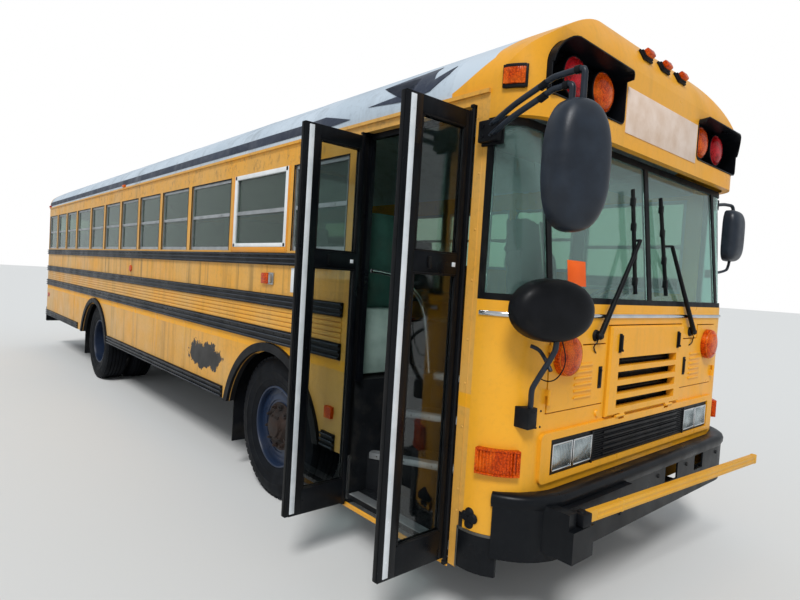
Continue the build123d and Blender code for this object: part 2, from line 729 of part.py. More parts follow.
def rod(start, end, radius):
    """A round bar between two points, with x counted from the windshield."""
    foot = Vector(along(start[0]), start[1], start[2])
    tip = Vector(along(end[0]), end[1], end[2])
    run = tip - foot
    return Solid.make_cylinder(radius, run.length, Plane(origin=foot, z_dir=run))


def front_wheel(side):
    """The steered wheel: tyre, and rim with its hub and brake drum bored for the spindle."""
    y = side * WHEEL_Y
    tread = tyre(FRONT_AXLE_X, y)
    half = TYRE_W / 2 * 0.74
    out = -side
    bore = SPINDLE_R + BEARING_GAP
    rings = (
        ((RIM_R - 14, -half), (RIM_R - SEAT_GAP, -half), (RIM_R - SEAT_GAP, half), (RIM_R - 14, half)),
        ((bore, out * 60), (RIM_R - 10, out * 60), (RIM_R - 10, out * 72), (bore, out * 72)),
        ((bore, out * -100), (85, out * -100), (85, out * 100), (bore, out * 100)),
        ((bore, out * -112), (205, out * -112), (205, out * 0), (bore, out * 0)),
    )
    wheel = None
    for points in rings:
        turned = ring_about_y(points, y, FRONT_AXLE_X, TYRE_R)
        wheel = turned if wheel is None else wheel + turned
    wheel -= hand_holes(FRONT_AXLE_X, y + side * 66, 5)
    wheel += along_y(FRONT_AXLE_X, TYRE_R, 70, (y + side * 95, y + side * 112))
    return tread, wheel


def hand_holes(x, y, count):
    """Round openings in a wheel disc."""
    holes = []
    for step in range(count):
        turn = radians(90 + step * 360 / count)
        hole_x = x + HAND_HOLE_RING * cos(turn)
        hole_z = TYRE_R + HAND_HOLE_RING * sin(turn)
        holes.append(along_y(hole_x, hole_z, HAND_HOLE_R, (y - 30, y + 30)))
    return holes


def rear_wheels(side):
    """Twin wheels on one hub: two tyres, two dished rims that meet, the drum and the hub."""
    outer_y = side * WHEEL_Y
    inner_y = side * (WHEEL_Y - TWIN_GAP)
    tyres = [tyre(REAR_AXLE_X, outer_y), tyre(REAR_AXLE_X, inner_y)]
    half = TYRE_W / 2 * 0.74
    meet = TWIN_GAP / 2
    wheels = None
    for y, out in ((outer_y, side), (inner_y, -side)):
        barrel = ((RIM_R - 14, -half), (RIM_R - SEAT_GAP, -half), (RIM_R - SEAT_GAP, half), (RIM_R - 14, half))
        dish = (
            (RIM_R - 10, out * 62),
            (RIM_R - 10, out * 74),
            (165, out * meet),
            (90, out * meet),
            (90, out * (meet - 11)),
            (160, out * (meet - 11)),
        )
        for points in (barrel, dish):
            turned = ring_about_y(points, y, REAR_AXLE_X, TYRE_R)
            wheels = turned if wheels is None else wheels + turned
    mid_y = side * (WHEEL_Y - meet)
    bore = AXLE_TUBE_R + BEARING_GAP
    drum = along_y(REAR_AXLE_X, TYRE_R, 205, (mid_y - side * 210, mid_y - side * 60))
    drum += along_y(REAR_AXLE_X, TYRE_R, 105, (mid_y - side * 60, mid_y + side * 190))
    drum -= along_y(REAR_AXLE_X, TYRE_R, bore, (mid_y - side * 211, mid_y - side * 20))
    wheels += drum
    return tyres, wheels


BEARING_GAP = 0.1
HAND_HOLE_RING = 215
HAND_HOLE_R = 28
AXLE_TUBE_R = 60
AXLE_NOSE = 310
GEARBOX_REAR_X = -2250
SHAFT_END_GAP = 1.6
KINGPIN_R = 20


def front_axle():
    """A dropped beam with an eye for the kingpin at each end."""
    x = (FRONT_AXLE_X - 42, FRONT_AXLE_X + 42)
    axle = block(x, (-770, 770), (420, 500))
    for side in (-1, 1):
        axle += block((FRONT_AXLE_X - 32, FRONT_AXLE_X + 32), (side * 760, side * KINGPIN_Y), (465, 535))
        axle += upright(FRONT_AXLE_X, side * KINGPIN_Y, 38, (460, 540))
        axle -= upright(FRONT_AXLE_X, side * KINGPIN_Y, KINGPIN_R + BEARING_GAP, (455, 545))
    return axle


def knuckle(side):
    """A yoke above and below the axle's eye, its kingpin, and the spindle for the wheel."""
    y = side * KINGPIN_Y
    x = (FRONT_AXLE_X - 34, FRONT_AXLE_X + 34)
    yoke = block(x, (y - side * 32, y + side * 66), (541, 578))
    yoke += block(x, (y - side * 32, y + side * 66), (422, 459))
    yoke += block(x, (y + side * 41, y + side * 66), (422, 578))
    yoke += upright(FRONT_AXLE_X, y, KINGPIN_R, (430, 570))
    yoke += along_y(FRONT_AXLE_X, TYRE_R, SPINDLE_R, (y + side * 66, side * (WHEEL_Y + 90)))
    return yoke


def rear_axle():
    """The axle tube with its differential housing and pinion nose, and the pads for the springs."""
    reach = WHEEL_Y - TWIN_GAP / 2 - 30
    axle = along_y(REAR_AXLE_X, TYRE_R, AXLE_TUBE_R, (-reach, reach))
    axle += along_y(REAR_AXLE_X, TYRE_R, 185, (-110, 110))
    axle += along_x(0, TYRE_R + 20, 75, (REAR_AXLE_X, REAR_AXLE_X + 310))
    for side in (-1, 1):
        y = (side * (RAIL_Y + 10), side * (RAIL_Y + 90))
        axle += block((REAR_AXLE_X - 80, REAR_AXLE_X + 80), y, (TYRE_R + 20, TYRE_R + 75))
    return axle


def driveshaft():
    front = GEARBOX_REAR_X - SHAFT_END_GAP
    rear = REAR_AXLE_X + AXLE_NOSE + SHAFT_END_GAP
    return rod((rear, 0, TYRE_R + 20), (front, 0, 640), 48)


def engine():
    """The engine and gearbox, as one plain mass between the frame rails."""
    mass = block((-1450, -160), (-300, 300), (600, 1240))
    mass += block((GEARBOX_REAR_X, -1450), (-170, 170), (560, 820))
    reach = RAIL_Y - FRAME_PLATE - SEAT_GAP
    for x in (-1350, -400):
        mass += block((x, x + 100), (-reach, reach), (700, 760))
    return mass


def leaf_spring(axle_x, y, seat_z, eye_z):
    """A tapered pack of leaves with a hanger at each end."""
    outline = [
        (axle_x - 640, eye_z),
        (axle_x - 640, eye_z - 24),
        (axle_x - 120, seat_z),
        (axle_x + 120, seat_z),
        (axle_x + 640, eye_z - 24),
        (axle_x + 640, eye_z),
        (axle_x + 120, seat_z + 48),
        (axle_x - 120, seat_z + 48),
    ]
    return side_plate(outline, y)


def springs():
    packs = []
    for side in (-1, 1):
        y_low = RAIL_Y - FRAME_FLANGE
        y = sorted((side * y_low, side * RAIL_Y))
        pack = leaf_spring(FRONT_AXLE_X, y, 500, 614)
        for end in (-610, 610):
            x = (FRONT_AXLE_X + end - 25, FRONT_AXLE_X + end + 25)
            pack += block(x, y, (592, FRAME_RAIL_Z[0]))
        packs.append(pack)
        y = sorted((side * (RAIL_Y + 10), side * (RAIL_Y + 90)))
        pack = leaf_spring(REAR_AXLE_X, y, TYRE_R + 75, 680)
        for end in (-610, 610):
            x = (REAR_AXLE_X + end - 25, REAR_AXLE_X + end + 25)
            pack += block(x, sorted((side * RAIL_Y, side * (RAIL_Y + 90))), (655, 760))
        packs.append(pack)
    return packs


def fuel_tank():
    x = (-5900, -4700)
    y = (-1130, -RAIL_Y - 40)
    tank = block(x, y, (590, 880))
    tank = fillet(tank.edges().filter_by(Axis.X), 60)
    for place in (x[0] + 250, x[1] - 250):
        tank += block((place - 30, place + 30), (y[1] - 70, -RAIL_Y), (700, 800))
    return tank


def exhaust():
    """The pipe down the left of the chassis, up over the rear axle and out under the bumper."""
    route = ((-1600, 575), (-6350, 575), (-6650, 635), (-7250, 635), (-7550, 575), (-9700, 575), (-9900, 510), (-10400, 510))
    path = FilletPolyline(*[(along(x), 250, z) for x, z in route], radius=150)
    start = Plane(origin=path @ 0, z_dir=path % 0)
    pipe = sweep(start * Circle(45), path=path)
    pipe += along_x(250, 575, 105, (-5200, -4200))
    for place in (-3500, -8400):
        pipe += block((place - 15, place + 15), (240, 260), (600, 690))
    return pipe


def mud_flaps():
    flaps = []
    for x, inner in ((FRONT_HOUSE[0] - 12, 640), (REAR_HOUSE[0] - 60, 560)):
        flaps += pair(block((x - 10, x), (inner, INSIDE_Y - 5), (235, FLOOR_Z - FLOOR_T)))
    return flaps


# Roof and rear

ROOF_HATCHES = (-3300, -7900)
HATCH = 600


def roof():
    """The roof skin in sheets: whole ones between the hatches, and one on each side of a hatch."""
    x = (REAR_X + REAR_WALL, CAP_REAR_X)
    shell = tube_of_section(x, 0, EAVE_Z) - tube_of_section(x, WALL, EAVE_Z - 1)
    cut = (CROWN_Z - CROWN_REACH, CROWN_Z + CROWN_REACH)
    for place in ROOF_HATCHES:
        shell -= block((place - HATCH / 2, place + HATCH / 2), (-HATCH / 2, HATCH / 2), cut)
        hinge_x = place + HATCH / 2 + HATCH_LAP + HATCH_PIN
        shell += along_y(hinge_x, CROWN_Z + 20, HATCH_PIN - PIN_GAP, (-150, 150))
        for side in (-1, 1):
            shell += block((hinge_x - 8, hinge_x + 8), (side * 100, side * 140), (CROWN_Z - 20, CROWN_Z + 20))
        for seam_x in (place - HATCH / 2, place + HATCH / 2):
            seam = (seam_x - SEAT_GAP / 2, seam_x + SEAT_GAP / 2)
            shell -= block(seam, (-HALF_WIDTH - 1, HALF_WIDTH + 1), (EAVE_Z - 1, CROWN_Z + 1))
    return shell


HATCH_LAP = 20
CROWN_REACH = 150
HATCH_PIN = 10


def roof_hatch(place):
    """A lid that follows the crown, a little larger than its opening."""
    reach = HATCH / 2 + HATCH_LAP
    x = (place - reach, place + reach)
    lid = tube_of_section(x, -34, EAVE_Z) - tube_of_section(x, -SWING_GAP, EAVE_Z - 1)
    return lid & block(x, (-reach, reach), (CROWN_Z - CROWN_REACH, CROWN_Z + CROWN_REACH))


REAR_DOOR = (440, 1010, 2330)
REAR_WINDOW = (560, 1080)
REAR_HINGE_OUT = 14
REAR_HINGE_R = 8
REAR_KNUCKLES = (1180, 1660, 2140)


def rear_wall():
    wall = rear_edge_solid()
    through = (REAR_X - 1, REAR_X + REAR_WALL + 1)
    half, low, high = REAR_DOOR
    wall -= block(through, (-half, half), (low, high))
    for side in (-1, 1):
        wall -= block(through, (side * REAR_WINDOW[0], side * REAR_WINDOW[1]), (SILL_Z, WINDOW_TOP_Z))
    axis_x = REAR_X - REAR_HINGE_OUT
    for z in REAR_KNUCKLES:
        heights = (z + 60 + PIN_GAP, z + 100)
        wall += upright(axis_x, -half, REAR_HINGE_R, heights)
        wall += block((axis_x, REAR_X), (-half - 16, -half), heights)
    return wall


def rear_windows():
    panes = []
    x = (REAR_X + 20, REAR_X + 28)
    for side in (-1, 1):
        panes.append(block(x, (side * REAR_WINDOW[0], side * REAR_WINDOW[1]), (SILL_Z, WINDOW_TOP_Z)))
    return panes


def rear_door():
    """The emergency door in the rear wall, on three knuckles at its right edge."""
    half, low, high = REAR_DOOR
    half -= SWING_GAP
    door = block((REAR_X - 4, REAR_X + 36), (-half, half), (low + SWING_GAP, high - SWING_GAP))
    panes = []
    for z in ((1120, 1480), (1640, 2230)):
        door -= block((REAR_X - 5, REAR_X + 37), (-330, 330), z)
        panes.append(block((REAR_X + 12, REAR_X + 18), (-330, 330), z))
    axis_x = REAR_X - REAR_HINGE_OUT
    axis_y = -REAR_DOOR[0]
    for z in REAR_KNUCKLES:
        door += upright(axis_x, axis_y, REAR_HINGE_R, (z, z + 60))
        door += block((axis_x - 4, REAR_X - 4), (axis_y, axis_y + 50), (z, z + 60))
    return door, panes


TOW_EYE_Z = 405
TOW_EYE_R = 22


def rear_bumper():
    bumper = block((REAR_X - 130, REAR_X - 120), (-1200, 1200), (440, 690))
    bumper += block((REAR_X - 130, REAR_X - 40), (-1200, 1200), (440, 450))
    bumper += block((REAR_X - 130, REAR_X - 40), (-1200, 1200), (680, 690))
    for side in (-1, 1):
        y = (side * RAIL_Y, side * (RAIL_Y - 60))
        bumper += block((REAR_X - 121, REAR_X + 160), y, (450, SKIRT_Z - 4))
        bumper += block((REAR_X + REAR_WALL + 10, REAR_X + 160), y, (SKIRT_Z - 5, FRAME_RAIL_Z[0]))
        eye = block((REAR_X - 36, REAR_X + 64), (side * 378, side * 402), (365, 450))
        eye -= along_y(REAR_X + 14, TOW_EYE_Z, TOW_EYE_R, sorted((side * 370, side * 410)))
        bumper += eye
    return bumper


# Outside trim

def rail_strip(x, z, side):
    """A rub rail: a flat base with three ribs."""
    strip = block(x, (side * HALF_WIDTH, side * (HALF_WIDTH + 10)), z)
    rib = (z[1] - z[0]) / 7
    for count in (0.5, 3, 5.5):
        low = z[0] + count * rib
        strip += block(x, (side * HALF_WIDTH, side * (HALF_WIDTH + RAIL_T)), (low, low + rib))
    return strip


SKIRT_RAIL_SPANS = ((-10320, -7890), (-6241, -2823), (-1390, -1250))


def rub_rails():
    strips = []
    for side, front in ((-1, RAIL_FRONT_X), (1, -300)):
        for z in RUB_RAILS:
            strips.append(rail_strip((REAR_X + REAR_WALL, front), z, side))
        for x in SKIRT_RAIL_SPANS:
            strips.append(rail_strip(x, SKIRT_RAIL, side))
    return strips


def arch_trims():
    trims = []
    for axle_x, (radius, centre_z) in ((FRONT_AXLE_X, FRONT_ARCH), (REAR_AXLE_X, REAR_ARCH)):
        y = (HALF_WIDTH, HALF_WIDTH + ARCH_TRIM_T)
        ring = along_y(axle_x, centre_z, radius + ARCH_TRIM, y)
        ring -= along_y(axle_x, centre_z, radius, (y[0] - 1, y[1] + 1))
        ring &= block((axle_x - 900, axle_x + 900), y, (SKIRT_Z, 1300))
        trims += pair(ring)
    return trims


WARNING_Y = (600, 850)
WARNING_Z = 2575
WARNING_R = 86
RECESS_Y = (450, 1100)
RECESS_Z = (2440, 2690)
RECESS_X = -98
RECESS_CORNERS = (35, 120)
PAN_T = 8
VISOR_REACH = 130


def lamp_recess(grow, x):
    """The rounded outline of the left lamp recess, as deep as the X values say and larger by a distance."""
    outline = Rectangle(RECESS_Y[1] - RECESS_Y[0] + 2 * grow, RECESS_Z[1] - RECESS_Z[0] + 2 * grow)
    ranked = outline.vertices().sort_by(lambda corner: corner.X + corner.Y)
    outline = fillet(ranked[:3], RECESS_CORNERS[0] + grow)
    ranked = outline.vertices().sort_by(lambda corner: corner.X + corner.Y)
    outline = fillet(ranked[-1:], RECESS_CORNERS[1] + grow)
    middle = Pos(along(x[0]), sum(RECESS_Y) / 2, sum(RECESS_Z) / 2)
    return middle * extrude(Plane.YZ * outline, x[1] - x[0])


def front_lamp_pan():
    """The pan sunk in the front cap behind two warning lamps, drawn out as a visor over them."""
    pan = lamp_recess(-SEAT_GAP, (RECESS_X, NOSE_X + VISOR_REACH))
    pan -= lamp_recess(-SEAT_GAP - PAN_T, (RECESS_X + PAN_T, NOSE_X + VISOR_REACH + 1))
    low, high = RECESS_Z
    visor = [
        (NOSE_X - 60, low + 110),
        (NOSE_X, low + 110),
        (NOSE_X + VISOR_REACH, high - 25),
        (NOSE_X + VISOR_REACH, high + 1),
        (NOSE_X - 60, high + 1),
    ]
    return (pan & cap_solid(0, BROW_FOOT_Z)) + (pan & side_plate(visor, RECESS_Y))


def rear_lamp_hood():
    """The pan with a roof and cheeks that stands out from the rear wall."""
    outline = [(0, 2470), (30, 2470), (130, 2649), (130, 2675), (0, 2675)]
    hood = side_plate([(REAR_X - x, z) for x, z in outline], (460, 975))
    return hood - block((REAR_X - 200, REAR_X - 12), (472, 963), (2400, 2663))


def lamp_hoods():
    return pair(front_lamp_pan()) + pair(rear_lamp_hood())


def warning_lamps(y):
    front = (RECESS_X + PAN_T, RECESS_X + PAN_T + 40)
    rear = (REAR_X - 44, REAR_X - 12)
    lamps = []
    for x in (front, rear):
        lamps += pair(along_x(y, WARNING_Z, WARNING_R, x))
    return lamps


def corner_lamp(side, x, z, y_min, spread=0):
    ring = nose_plan(NOSE_X + 16, -16, SIDE_FRONT_X, z, spread)
    ring -= nose_plan(NOSE_X, 0, SIDE_FRONT_X - 1, (z[0] - 1, z[1] + 1), spread)
    return ring & block(x, (side * y_min, side * 1400), z)


BROW_LAMP_Y = (-213, 0, 213)
BROW_LAMP_DROP = 170


def brow_lamps():
    """Three small lamps seated square to the curve of the brow."""
    lamps = []
    turn_x = NOSE_X + EDGE_LEAD - BROW_R
    turn_z = CROWN_Z + EDGE_LEAD - BROW_R
    lift = asin((CROWN_Z - BROW_LAMP_DROP - turn_z) / BROW_R)
    out = BROW_R + 11
    for y in BROW_LAMP_Y:
        place = Pos(along(turn_x + out * cos(lift)), y, turn_z + out * sin(lift))
        lamps.append(place * Rot(0, -lift * 180 / pi, 0) * Box(22, 60, 34))
    return lamps


def amber_lamps():
    lamps = warning_lamps(WARNING_Y[0])
    lamps += brow_lamps()
    for side in (-1, 1):
        lamps.append(corner_lamp(side, (-157, -28), (775, 888), 1060))
        lamps.append(corner_lamp(side, (-148, -92), (2472, 2538), 1080, EDGE_LEAD))
        y = (side * HALF_WIDTH, side * (HALF_WIDTH + 22))
        lamps.append(block((-5800, -5730), y, (EAVE_Z + 6, EAVE_Z + 30)))
        lamps.append(block((-1350, -1280), y, (750, 820)))
    return lamps


def red_lamps():
    lamps = warning_lamps(WARNING_Y[1])
    for side in (-1, 1):
        lamps.append(along_x(side * 900, 1480, 88, (REAR_X - 20, REAR_X)))
        lamps.append(along_x(side * 700, 1480, 88, (REAR_X - 20, REAR_X)))
        y = (side * HALF_WIDTH, side * (HALF_WIDTH + 22))
        lamps.append(block((-10300, -10230), y, (EAVE_Z + 6, EAVE_Z + 30)))
    for y in BROW_LAMP_Y:
        lamps.append(block((REAR_X - 22, REAR_X), (y - 30, y + 30), (CROWN_Z - 250, CROWN_Z - 216)))
    return lamps


def wipers():
    arms = []
    for side, tip_y, blade_y in ((-1, -190, (-215, -225)), (1, 205, (160, 110))):
        pivot = (NOSE_X, side * 570, 1385)
        arm = along_x(pivot[1], pivot[2], 16, (NOSE_X, NOSE_X + 34))
        root = (NOSE_X + 26, pivot[1], pivot[2])
        tip = (6, tip_y, 1890)
        arm += rod(root, tip, 8)
        arm += rod((14, blade_y[0], 1612), (-38, blade_y[1], 2150), 7)
        arm += rod(tip, (-12, (blade_y[0] + blade_y[1]) / 2, 1885), 7)
        arms.append(arm)
    return arms


def mirror_head(x, y, z, wide, tall, deep, turn):
    """A rounded housing whose flat side faces the driver."""
    shell = extrude(RectangleRounded(wide, tall, min(wide, tall) * 0.45), deep)
    shell = fillet(shell.faces().sort_by(Axis.Z)[-1].edges(), deep * 0.6)
    return Pos(along(x), y, z) * Rot(0, 0, turn) * (Plane.YZ * shell)


def tube_path(points, radius, bend):
    path = FilletPolyline(*[(along(x), y, z) for x, y, z in points], radius=bend)
    start = Plane(origin=path @ 0, z_dir=path % 0)
    return sweep(start * Circle(radius), path=path)


def mirrors():
    """The right driving mirror on its tube, the low oval mirror, and the left driving mirror."""
    right = mirror_head(270, -1325, 2040, 250, 470, 90, -20)
    for drop in (0, 46):
        z = [height - drop for height in (2296, 2350, 2408, 2408, 2200)]
        route = ((-190, -1262, z[0]), (-30, -1285, z[1]), (160, -1310, z[2]), (300 - drop, -1318, z[3]), (300 - drop, -1318, z[4]))
        right += tube_path(route, 12, 45)
    right += block((-250, -130), (-HALF_WIDTH - 60, -HALF_WIDTH), (2225, 2320))
    oval = mirror_head(90, -1118, 1532, 344, 250, 80, -20)
    oval += tube_path(((30, -1100, 1050), (50, -1145, 1175), (130, -1110, 1340), (130, -1110, 1500)), 14, 50)
    oval += block((NOSE_X - 60, NOSE_X + 40), (-1128, -1042), (985, 1085))
    oval -= nose_plan(NOSE_X, 0, SIDE_FRONT_X, (900, 1700))
    left = mirror_head(-120, 1490, 2070, 220, 400, 90, 0)
    left += tube_path(((-150, 1262, 2290), (-70, 1490, 2300), (-70, 1490, 2150)), 16, 60)
    left += block((-250, -130), (HALF_WIDTH, HALF_WIDTH + 60), (2225, 2310))
    return [right, oval, left]


# Front and side arms

CROSSING_PIVOT = (200, -930)
CROSSING_BAR = (1780, 26, 50)
CROSSING_OPEN = 4.3


def crossing_box():
    """The arm's housing on the bumper, with its pivot pin, an upright beside the pivot and a stay."""
    x, y = CROSSING_PIVOT
    box = block((BUMPER_FRONT_X - 40, x + 30), (y - 105, y + 60), (455, 592))
    box += block((BUMPER_FRONT_X - 40, x + 5), (y - 105, y - 50), (591, 660))
    box += block((BUMPER_FRONT_X - 15, BUMPER_FRONT_X + 40), (y - 52, y + 560), (618, 648))
    return box + upright(x, y, 14, (592, 620))


def crossing_arm():
    """The long bar that swings across the front, resting a little off the bumper."""
    x, y = CROSSING_PIVOT
    length, thick, tall = CROSSING_BAR
    bar = Pos(0, length / 2, 0) * Box(thick, length, tall)
    bar += Box(60, 60, tall)
    bar -= Cylinder(14 + BEARING_GAP, tall + 2)
    bar = Pos(along(x), y, 598 + tall / 2) * Rot(0, 0, -CROSSING_OPEN) * bar
    return bar


STOP_PIVOT = (-1390, 1262)
STOP_SIGN = 450


def stop_arm():
    """A blank octagon on a short arm, folded flat along the left side."""
    x, y = STOP_PIVOT
    half = STOP_SIGN / 2
    cut = half * tan(radians(22.5))
    centre = (x - 330, 1530)
    outline = [(cut, half), (half, cut), (half, -cut), (cut, -half), (-cut, -half), (-half, -cut), (-half, cut), (-cut, half)]
    sign = side_plate([(centre[0] + px, centre[1] + pz) for px, pz in outline], (y - 4, y + 4))
    sign += block((x - 150, x), (y - 6, y + 6), (1500, 1560))
    sign += upright(x, y, 9, (1470, 1590))
    return sign


def stop_bracket():
    x, y = STOP_PIVOT
    bracket = block((x + 14, x + 110), (HALF_WIDTH, y + 8), (1455, 1605))
    for z in ((1455, 1470 - PIN_GAP), (1590 + PIN_GAP, 1605)):
        bracket += block((x - 10, x + 20), (y - 10, y + 8), z)
    return bracket


# Inside

def bench(rear_x, side):
    """A bench seat: cushion, upright back and one leg."""
    y = sorted((side * 185, side * 1165))
    outline = [
        (rear_x, FLOOR_Z + 400),
        (rear_x - 60, FLOOR_Z + 1010),
        (rear_x + 20, FLOOR_Z + 1010),
        (rear_x + 90, FLOOR_Z + 470),
        (rear_x + 480, FLOOR_Z + 480),
        (rear_x + 480, FLOOR_Z + 400),
    ]
    seat = side_plate(outline, y)
    leg_y = sorted((side * 220, side * 260))
    seat += block((rear_x + 60, rear_x + 420), leg_y, (FLOOR_Z, FLOOR_Z + 400))
    return seat


SEAT_PITCH = 715
SEAT_ROWS = 11


def passenger_seats():
    seats = []
    for row in range(SEAT_ROWS):
        rear_x = -10150 + row * SEAT_PITCH
        for side in (-1, 1):
            seats.append(bench(rear_x, side))
    return seats


def driver_seat():
    y = (560, 1040)
    outline = [
        (-1440, FLOOR_Z + 380),
        (-1500, FLOOR_Z + 1150),
        (-1390, FLOOR_Z + 1150),
        (-1320, FLOOR_Z + 500),
        (-960, FLOOR_Z + 490),
        (-960, FLOOR_Z + 380),
    ]
    seat = side_plate(outline, y)
    seat += block((-1330, -1000), (660, 940), (FLOOR_Z, FLOOR_Z + 380))
    return seat


def dashboard():
    """The hollow engine cover with the instrument panel across its front end."""
    x_low, x_high, half = ENGINE_HATCH
    cover = block((x_low - 30, x_high - 10), (-half - 20, half + 20), (FLOOR_Z, 1330))
    cover -= block((x_low - 10, x_high - 9), (-half, half), (FLOOR_Z - 1, 1305))
    panel = side_plate([(-60, 1330), (-60, 1490), (-160, 1490), (-420, 1400), (-420, 1330)], (-445, 1050))
    return cover + panel


def steering_wheel():
    ring = Torus(225, 14)
    ring += Cylinder(14, 450, rotation=(90, 0, 0))
    ring += Cylinder(50, 40)
    ring = Pos(along(-700), 800, 1560) * Rot(0, -35, 0) * ring
    column = rod((-700, 800, 1560), (-417, 800, 1021), 30)
    column += block((-460, -360), (750, 850), (FLOOR_Z + SEAT_GAP, FLOOR_Z + 30))
    return ring + column


def main():
    os.makedirs("parts", exist_ok=True)
    save("chassis_frame", chassis_frame())
    save("engine", engine())
    save("driveshaft", driveshaft())
    save("front_axle", front_axle())
    save("rear_axle", rear_axle())
    save("springs", *springs())
    save("fuel_tank", fuel_tank())
    save("exhaust", exhaust())
    save("mud_flaps", *mud_flaps())
    for name, side in (("left", 1), ("right", -1)):
        save(f"{name}_knuckle", knuckle(side))
        tread, wheel = front_wheel(side)
        save(f"front_{name}_tyre", tread)
        save(f"front_{name}_rim", wheel)
        treads, wheels = rear_wheels(side)
        save(f"rear_{name}_tyres", *treads)
        save(f"rear_{name}_rims", wheels)
    save("floor", floor())
    save("right_side_wall", right_wall())
    save("left_side_wall", left_wall(), stop_bracket())
    frames, panes = side_windows()
    save("window_frames", *frames)
    save("window_glass", *panes, *rear_windows())
    save("roof", roof())
    save("roof_hatch_front", roof_hatch(ROOF_HATCHES[0]))
    save("roof_hatch_rear", roof_hatch(ROOF_HATCHES[1]))
    save("rear_wall", rear_wall())
    door, panes = rear_door()
    save("rear_door", door)
    save("rear_door_glass", *panes)
    save("front_cap", front_cap())
    save("front_cowl", front_cowl())
    frame, panes = windshield()
    save("windshield_frame", frame)
    save("windshield", *panes)
    save("grille", grille())
    save("headlamps", *headlamps())
    save("hood_panel", hood_panel())
    save("right_access_door", access_door(-1))
    save("left_access_door", access_door(1))
    save("front_bumper", front_bumper() + crossing_box(), *corner_skirts())
    save("rear_bumper", rear_bumper())
    save("rub_rails", *rub_rails())
    save("wheel_arch_trims", *arch_trims())
    save("lamp_hoods", *lamp_hoods())
    save("amber_lamps", *amber_lamps())
    save("red_lamps", *red_lamps())
    save("mirrors", *mirrors())
    save("wipers", *wipers())
    save("crossing_arm", crossing_arm())
    save("stop_arm", stop_arm())
    save("entrance_steps", entrance_steps())
    save("door_frame", door_frame())
    for name, front in (("front", True), ("rear", False)):
        leaf, glass = door_leaf(front)
        save(f"door_leaf_{name}", leaf)
        save(f"door_leaf_{name}_glass", *glass)
    save("driver_seat", driver_seat())
    save("passenger_seats", *passenger_seats())
    save("dashboard", dashboard())
    save("steering_wheel", steering_wheel())


main()
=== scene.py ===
# %% [markdown]
# # A flat-fronted school bus, from frame to finish
# The body, doors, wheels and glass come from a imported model, and this lesson gives them their finishes
# and the small pieces that a metal worker, a tyre fitter and a trimmer would add.
# The frame is loaded first, and its box is kept, so that the end can name whatever reaches past it.

# %% Load the frame
import json
import math

import bmesh
import bpy
from mathutils import Matrix, Vector


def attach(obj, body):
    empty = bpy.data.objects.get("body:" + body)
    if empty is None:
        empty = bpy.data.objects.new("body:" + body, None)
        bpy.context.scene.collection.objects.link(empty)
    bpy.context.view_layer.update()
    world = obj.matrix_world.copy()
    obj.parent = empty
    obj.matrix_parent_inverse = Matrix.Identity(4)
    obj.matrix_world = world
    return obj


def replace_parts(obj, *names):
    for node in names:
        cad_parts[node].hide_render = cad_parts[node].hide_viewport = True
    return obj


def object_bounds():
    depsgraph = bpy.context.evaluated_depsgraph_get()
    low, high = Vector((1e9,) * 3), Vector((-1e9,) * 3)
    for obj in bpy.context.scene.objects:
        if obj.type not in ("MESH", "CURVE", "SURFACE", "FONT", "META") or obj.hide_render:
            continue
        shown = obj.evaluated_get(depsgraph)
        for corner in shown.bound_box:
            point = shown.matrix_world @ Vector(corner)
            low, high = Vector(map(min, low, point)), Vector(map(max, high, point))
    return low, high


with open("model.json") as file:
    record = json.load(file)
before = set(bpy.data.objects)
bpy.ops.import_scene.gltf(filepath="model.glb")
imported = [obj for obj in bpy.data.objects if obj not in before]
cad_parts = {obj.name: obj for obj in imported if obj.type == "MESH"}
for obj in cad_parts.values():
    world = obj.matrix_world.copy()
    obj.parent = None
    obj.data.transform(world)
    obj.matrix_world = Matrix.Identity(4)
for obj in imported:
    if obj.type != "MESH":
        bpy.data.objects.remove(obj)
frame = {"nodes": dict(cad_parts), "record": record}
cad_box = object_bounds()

nodes = frame["nodes"]

# %% [markdown]
# ## The measuring frame
# Lengths along the bus are counted from the foot of the windshield, as a coach builder does,
# so one value says how far that foot lies ahead of the frame's origin.

# %% Shared sizes
SCREEN_FOOT = 5.063
HALF_WIDTH = 1.219
REAR = -10.379
SHEET_REAR = -10.31
BODY = "bus_body"
SIDES = (-1, 1)


def along(x):
    """A length from the windshield's foot, as a place in the frame."""
    return SCREEN_FOOT + x


def spot_at(x, y, z):
    """A place in the frame, with its length counted from the windshield's foot."""
    return Vector((along(x), y, z))


# %% [markdown]
# ## The camera
# The photograph was taken by a person standing off the right front corner with a wide lens held level
# and turned a few degrees. The three directions of that view are worked out from its yaw, pitch and roll.

# %% Camera
VIEW_WIDTH = 800
FOCAL_PIXELS = 561.7
SENSOR = 36.0
YAW, PITCH, ROLL = (math.radians(v) for v in (138.584, -2.297, 3.507))

ahead = Vector((math.cos(YAW) * math.cos(PITCH), math.sin(YAW) * math.cos(PITCH), math.sin(PITCH)))
right = ahead.cross(Vector((0, 0, 1))).normalized()
upward = right.cross(ahead)
tilted_right = right * math.cos(ROLL) + upward * math.sin(ROLL)
tilted_up = upward * math.cos(ROLL) - right * math.sin(ROLL)
turn = Matrix((tilted_right, tilted_up, -ahead)).transposed().to_4x4()
camera_data = bpy.data.cameras.new("camera")
camera_data.sensor_width = SENSOR
camera_data.lens = FOCAL_PIXELS / VIEW_WIDTH * SENSOR
camera_data.clip_end = 300
camera = bpy.data.objects.new("camera", camera_data)
camera.matrix_world = Matrix.Translation(spot_at(1.436, -3.141, 1.613)) @ turn
bpy.context.scene.collection.objects.link(camera)
bpy.context.scene.camera = camera
print("lens", round(camera_data.lens, 2), "mm")

